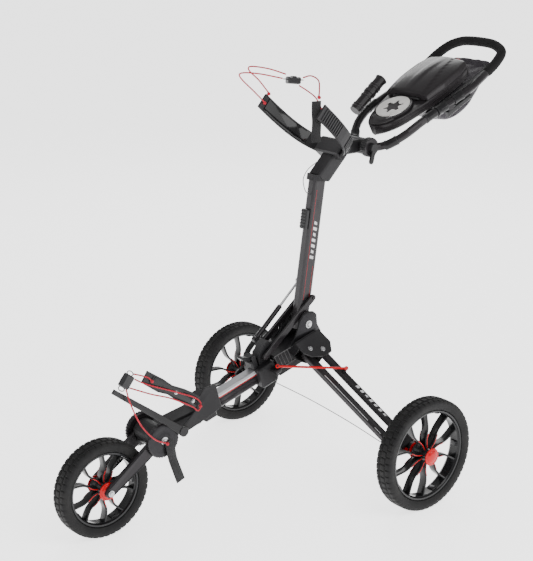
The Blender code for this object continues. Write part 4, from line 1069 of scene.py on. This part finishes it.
FRONT_BAR_ROOT = LEG_ROOT + Vector((0.0187, 0.0360, -0.0071))
FRONT_BAR_LOCAL = LEG.inverted() @ FRONT_BAR_ROOT
LEG_BOLTS = ((0.0, 0.0), (FRONT_BAR_LOCAL.x, FRONT_BAR_LOCAL.y))
BOLT_LEVEL, BAR_FACE, MARK_DEPTH = 0.0112, 0.00745, 0.0002
for side in ("left", "right"):
    flip = (lambda shape: shape) if side == "left" else mirrored
    heads = [hex_head(LEG @ Matrix.Translation((x, y, BOLT_LEVEL)), 0.0052, 0.0042) for x, y in LEG_BOLTS]
    piece(f"root_bolts_{side}", flip(together(*heads)), "silver", "chassis")
    ends = [
        hex_head(LEG @ Matrix.Translation((LEG_LENGTH + x, y, BOLT_LEVEL)), 0.0048, 0.0040)
        for x, y in LEG_BOLTS
    ]
    piece(f"carrier_bolts_{side}", flip(together(*ends)), "pad", f"carrier_{side}")
    slashes = [
        slash(0.128 + 0.0165 * i, reach, 0.0085, 0.0030, BAR_FACE, BAR_FACE + MARK_DEPTH, LEG)
        for i, reach in enumerate((0.0042, 0.0042, 0.0026, 0.0042, 0.0034, 0.0042, 0.0026))
    ]
    piece(f"rear_bar_marks_{side}", flip(together(*slashes)), "white_mark", f"rear_bar_{side}")
    fy, fz = FRONT_BAR_LOCAL.y, FRONT_BAR_LOCAL.z
    lines = [
        strip(a, b, fy - 0.0090, fy - 0.0074, fz + BAR_FACE, fz + BAR_FACE + MARK_DEPTH, LEG)
        for a, b in ((0.055, 0.215), (0.240, 0.262))
    ]
    piece(f"front_bar_lines_{side}", flip(together(*lines)), "white_mark", f"front_bar_{side}")
    knob = dome(
        0.0066, 0.0045, placed(Vector((-TRACK / 2 + 0.0430, 0.0290, REAR_RADIUS)), X_AXIS, Y_AXIS), 28
    )
    piece(f"release_knob_{side}", flip(knob), "red", f"release_{side}")


UPRIGHT_FACE = placed(UPRIGHT_PIVOT + X_AXIS * -0.0150, ALONG_UPRIGHT, -X_AXIS)
bars = [
    slash(0.168 + 0.0150 * i, reach, 0.0078, 0.0032, -0.0001, 0.00018, UPRIGHT_FACE)
    for i, reach in enumerate((0.0062, 0.0040, 0.0062, 0.0062, 0.0040, 0.0062, 0.0046))
]
piece("upright_marks", bars, "white_mark", "upright")
stripes = [
    strip(a, b, y - 0.0004, y + 0.0004, -0.0001, 0.00016, UPRIGHT_FACE)
    for a, b, y in ((0.060, 0.150, -0.0085), (0.060, 0.350, 0.0100))
]
piece("upright_lines", stripes, "red_mark", "upright")
vents = [
    block((0.0010, 0.0090, 0.0022), upright_frame(0.300 + 0.0052 * i, 0.0, -0.0150), 0.0004, 1)
    for i in range(5)
]
piece("upright_vents", vents, "pad", "upright")
bumper = [block((0.0190, 0.0030, 0.0034), upright_frame(0.252 + 0.008 * i, 0.0325), 0.0010) for i in range(6)]
piece("bumper_ribs", bumper, "pad", "upright")


# Bracket arms, knuckles and lever.

ARM_PATH = (
    (-0.040, 0.002), (-0.066, 0.016), (-0.086, 0.036), (-0.101, 0.064), (-0.110, 0.100), (-0.114, 0.140),
    (-0.114, 0.188)
)


def arm_points(start, end, out):
    """Points along the left arm, between two shares of its length, moved outwards from its middle line."""
    line = smooth_path([(x, y, 0.0) for x, y in ARM_PATH], 0.004)
    chosen = []
    for i in range(int(start * (len(line) - 1)), int(end * (len(line) - 1)) + 1):
        heading = (line[min(i + 1, len(line) - 1)] - line[max(i - 1, 0)]).normalized()
        chosen.append((line[i] + Vector((-heading.y, heading.x, 0.0)) * out, heading))
    return chosen


def arm_pad():
    """The smooth pad on an arm's inner face, with a long raised border."""
    core = swept(
        [BRACKET @ p for p, _ in arm_points(0.22, 0.93, -0.0043)], rounded(0.0016, 0.0175, 0.0014, 3),
        BRACKET_UP
    )
    rails = []
    for h in (-0.0155, 0.0155):
        line = [BRACKET @ (p + Vector((0.0, 0.0, h))) for p, _ in arm_points(0.26, 0.90, -0.0062)]
        rails.append(swept(line, rounded(0.0010, 0.0014, 0.0006, 2), BRACKET_UP))
    return together(core, *rails)


def arm_ridges():
    """Clamp ridges across an arm's outer face near its tip and at its root."""
    ridges = []
    for start, end, step in ((0.62, 0.95, 2), (0.16, 0.40, 2)):
        for point, heading in arm_points(start, end, 0.0042)[::step]:
            turn = placed(BRACKET @ point, BRACKET.to_3x3() @ heading, BRACKET_UP)
            ridges.append(block((0.0034, 0.0030, 0.034), turn, 0.0008))
    return together(*ridges)


piece("arm_pads", both(arm_pad()), "gloss_pad", "upright")
piece("arm_ridges", both(arm_ridges()), "pad", "upright")
TIP_SPOTS = (
    (-0.1010, 0.117, 1.0175), (-0.1010, 0.107, 0.9865), (0.1090, 0.118, 0.9790), (0.1090, 0.104, 1.0010)
)
tips = [knot(spot, (0.3, 0.9, 0.2), (0.9, -0.3, 0.1), 0.0046, 0.0040, 0.0052) for spot in TIP_SPOTS]
piece("cord_knots", tips, "cord", "upright")

teeth = []
for side in (-1, 1):
    for i in range(28):
        turn = across(HANDLE_PIVOT) @ around(i, 28, (0.0240, 0.0, side * 0.0410))
        teeth.append(block((0.0032, 0.0030, 0.0150), turn, 0.0006, 1))
piece("knuckle_teeth", teeth, "pad", "handle")
knuckle_cap = dome(0.0120, 0.0030, placed(HANDLE_PIVOT + X_AXIS * 0.0519, Y_AXIS, X_AXIS))
piece("knuckle_cap", knuckle_cap, "dark_plate", "handle")

SIDE_TUBE = (
    (-0.0410, -0.124, 0.857), (-0.048, -0.140, 0.859), (-0.066, -0.158, 0.866), (-0.094, -0.190, 0.892),
    (-0.108, -0.240, 0.925), (-0.112, -0.310, 0.955), (-0.113, -0.400, 0.991), (-0.112, -0.465, 1.028)
)
tube_line = smooth_path(SIDE_TUBE, 0.004)


def sleeve(start, end, radius):
    """A clamp sleeve round part of the left handle tube, with a raised lip at each end."""

    def lip(share):
        return 1.05 if share < 0.12 or share > 0.88 else 1.0

    return swept(tube_line[start:end], circle(radius, 28), LOOP_SIDE, lip)


sleeves = together(sleeve(8, 18, 0.0122), sleeve(40, 50, 0.0119), sleeve(66, 76, 0.0119))
piece("tube_sleeves", both(sleeves), "pad", "handle")
clamp_block = block((0.030, 0.016, 0.010), placed((-0.1125, -0.334, 0.9510), CONSOLE_BACK, X_AXIS), 0.002)
piece("brake_clamp", together(sleeve(50, 60, 0.0135), clamp_block), "pad", "handle")

foot, head = Vector((0.093, -0.180, 0.931)), Vector((0.093, -0.277, 1.008))
holder = placed(foot, X_AXIS, head - foot)
rings = [
    turned(
        [(0.0157, z - 0.0016), (0.0172, z - 0.0010), (0.0172, z + 0.0010), (0.0157, z + 0.0016)], holder, 40,
        closed=True
    )
    for z in (0.010, 0.018, 0.052, 0.086, 0.094, 0.1215)
]
piece("umbrella_rings", rings, "console", "handle")


# Straps and clips.


def webbing(points, width, thickness, flat_axis):
    return swept(smooth_path(points, 0.003), rounded(thickness / 2, width / 2, thickness * 0.4, 2), flat_axis)


lower_tail = (
    (-0.0610, 0.551, 0.222), (-0.0622, 0.547, 0.200), (-0.0606, 0.541, 0.172), (-0.0624, 0.531, 0.140),
    (-0.0618, 0.519, 0.108)
)
piece(
    "lower_strap_web", webbing(lower_tail, 0.025, 0.0018, (0.0, 1.0, 0.15)), "webbing", "chassis",
    ("lower_strap",)
)
upper_tail = (
    (-0.1040, 0.128, 1.010), (-0.1024, 0.127, 0.985), (-0.1032, 0.126, 0.960), (-0.1016, 0.1255, 0.932),
    (-0.1022, 0.125, 0.908)
)
piece(
    "upper_strap_web", webbing(upper_tail, 0.025, 0.0018, (0.3, 1.0, 0.0)), "webbing", "upright",
    ("upper_strap",)
)
CLIP_LOWER = placed((-0.062, 0.668, 0.404), (0.0, 0.62, -0.78), X_AXIS)
CLIP_UPPER = placed((0.010, 0.106, 1.046), (0.35, 0.93, 0.10), (0.0, -0.35, 0.93))


def clip_detail(placing):
    """Thumb ribs and the two wire rings at a clip's ends."""
    shapes = []
    for i in range(4):
        spot = placing @ Matrix.Translation((-0.0045 + 0.003 * i, 0.0, 0.0096))
        shapes.append(block((0.0016, 0.020, 0.0024), spot, 0.0005, 1))
    turns = [2 * pi * i / 24 for i in range(25)]
    for side in (-1, 1):
        centre = placing @ Matrix.Translation((side * 0.0205, 0.0, 0.002))
        loop = [centre @ Vector((0.0052 * cos(a), 0.0092 * sin(a), 0.0)) for a in turns]
        shapes.append(swept(loop, circle(0.0012, 10), placing.to_3x3() @ Vector((0.0, 0.0, 1.0))))
    return together(*shapes)


piece("lower_clip_detail", clip_detail(CLIP_LOWER), "pad", "chassis")
piece("upper_clip_detail", clip_detail(CLIP_UPPER), "pad", "upright")


# Fork and lower bracket.

reach = FRONT_AXLE - FORK_PIVOT
for side, sign in (("left", -1), ("right", 1)):
    outward = placed(FORK_PIVOT, reach, (sign, 0.0, 0.0))
    cap = turned(
        [
            (0.0405, 0.0525), (0.0420, 0.0532), (0.0400, 0.0541), (0.0330, 0.0545), (0.0300, 0.0537),
            (0.0200, 0.0537), (0.0180, 0.0546), (0.0100, 0.0548)
        ],
        outward, 64
    )
    notches = [
        block((0.0024, 0.0034, 0.0080), outward @ around(i, 36, (0.0440, 0.0, 0.0470)), 0.0006, 1)
        for i in range(36)
    ]
    piece(f"fork_cap_{side}", together(cap, *notches), "dark_plate", "fork")
    nut = hex_head(placed(FRONT_AXLE + X_AXIS * sign * 0.0448, Y_AXIS, X_AXIS * sign), 0.0056, 0.0036)
    eye = hex_head(outward @ Matrix.Translation((0.0, 0.0, 0.0550)), 0.0058, 0.0036)
    piece(f"fork_nuts_{side}", together(nut, eye), "silver", "fork")
    taper = ((0.052, 0.0148), (0.110, 0.0132), (reach.length - 0.006, 0.0106))
    edges = []
    for rim in (1, -1):
        line = [outward @ Vector((x, rim * y, 0.0424)) for x, y in taper]
        edges.append(swept(line, rounded(0.0009, 0.0009, 0.0004, 1), X_AXIS))
    piece(f"fork_edges_{side}", edges, "dark_plate", "fork")

ribs = []
for i in range(11):
    rotated = across(FORK_PIVOT) @ Matrix.Rotation(radians(150 + 11 * i), 4, "Z")
    ribs.append(block((0.0030, 0.0022, 0.0520), rotated @ Matrix.Translation((0.0300, 0.0, 0.0)), 0.0006, 1))
piece("yoke_ribs", ribs, "pad", "chassis")

SIDE_ARM_X = -0.062
SIDE_ARM_ROOT, SIDE_ARM_TIP = Vector((0.0, 0.489, 0.315)), Vector((0.0, 0.6187, 0.4026))
arm_side = placed(SIDE_ARM_ROOT, SIDE_ARM_TIP - SIDE_ARM_ROOT, X_AXIS)
FACING = (
    (-0.020, -0.010), (0.030, -0.013), (0.070, -0.0095), (0.100, -0.013), (0.128, -0.012), (0.128, 0.013),
    (0.104, 0.0125), (0.068, 0.0085), (0.030, 0.013), (-0.020, 0.012),
)
facing = prism(FACING, SIDE_ARM_X - 0.0034, SIDE_ARM_X - 0.0023, arm_side, 0.0004)
piece("side_arm_facing", facing, "carbon", "chassis")
screws = []
for x in (-0.010, 0.050):
    spot = arm_side @ Vector((x, 0.0, SIDE_ARM_X - 0.0032))
    screws.append(hex_head(placed(spot, Y_AXIS, -X_AXIS), 0.0040, 0.0030))
piece("side_arm_screws", screws, "silver", "chassis")
KNOT_SPOTS = ((-0.0668, 0.6000, 0.3890), (-0.0668, 0.5600, 0.2190), (-0.0720, 0.4640, 0.2940))
knots = [knot(spot, (0.2, 0.9, 0.1), (1.0, 0.1, 0.0), 0.0042, 0.0034, 0.0045) for spot in KNOT_SPOTS]
piece("lower_knots", knots, "cord", "chassis")
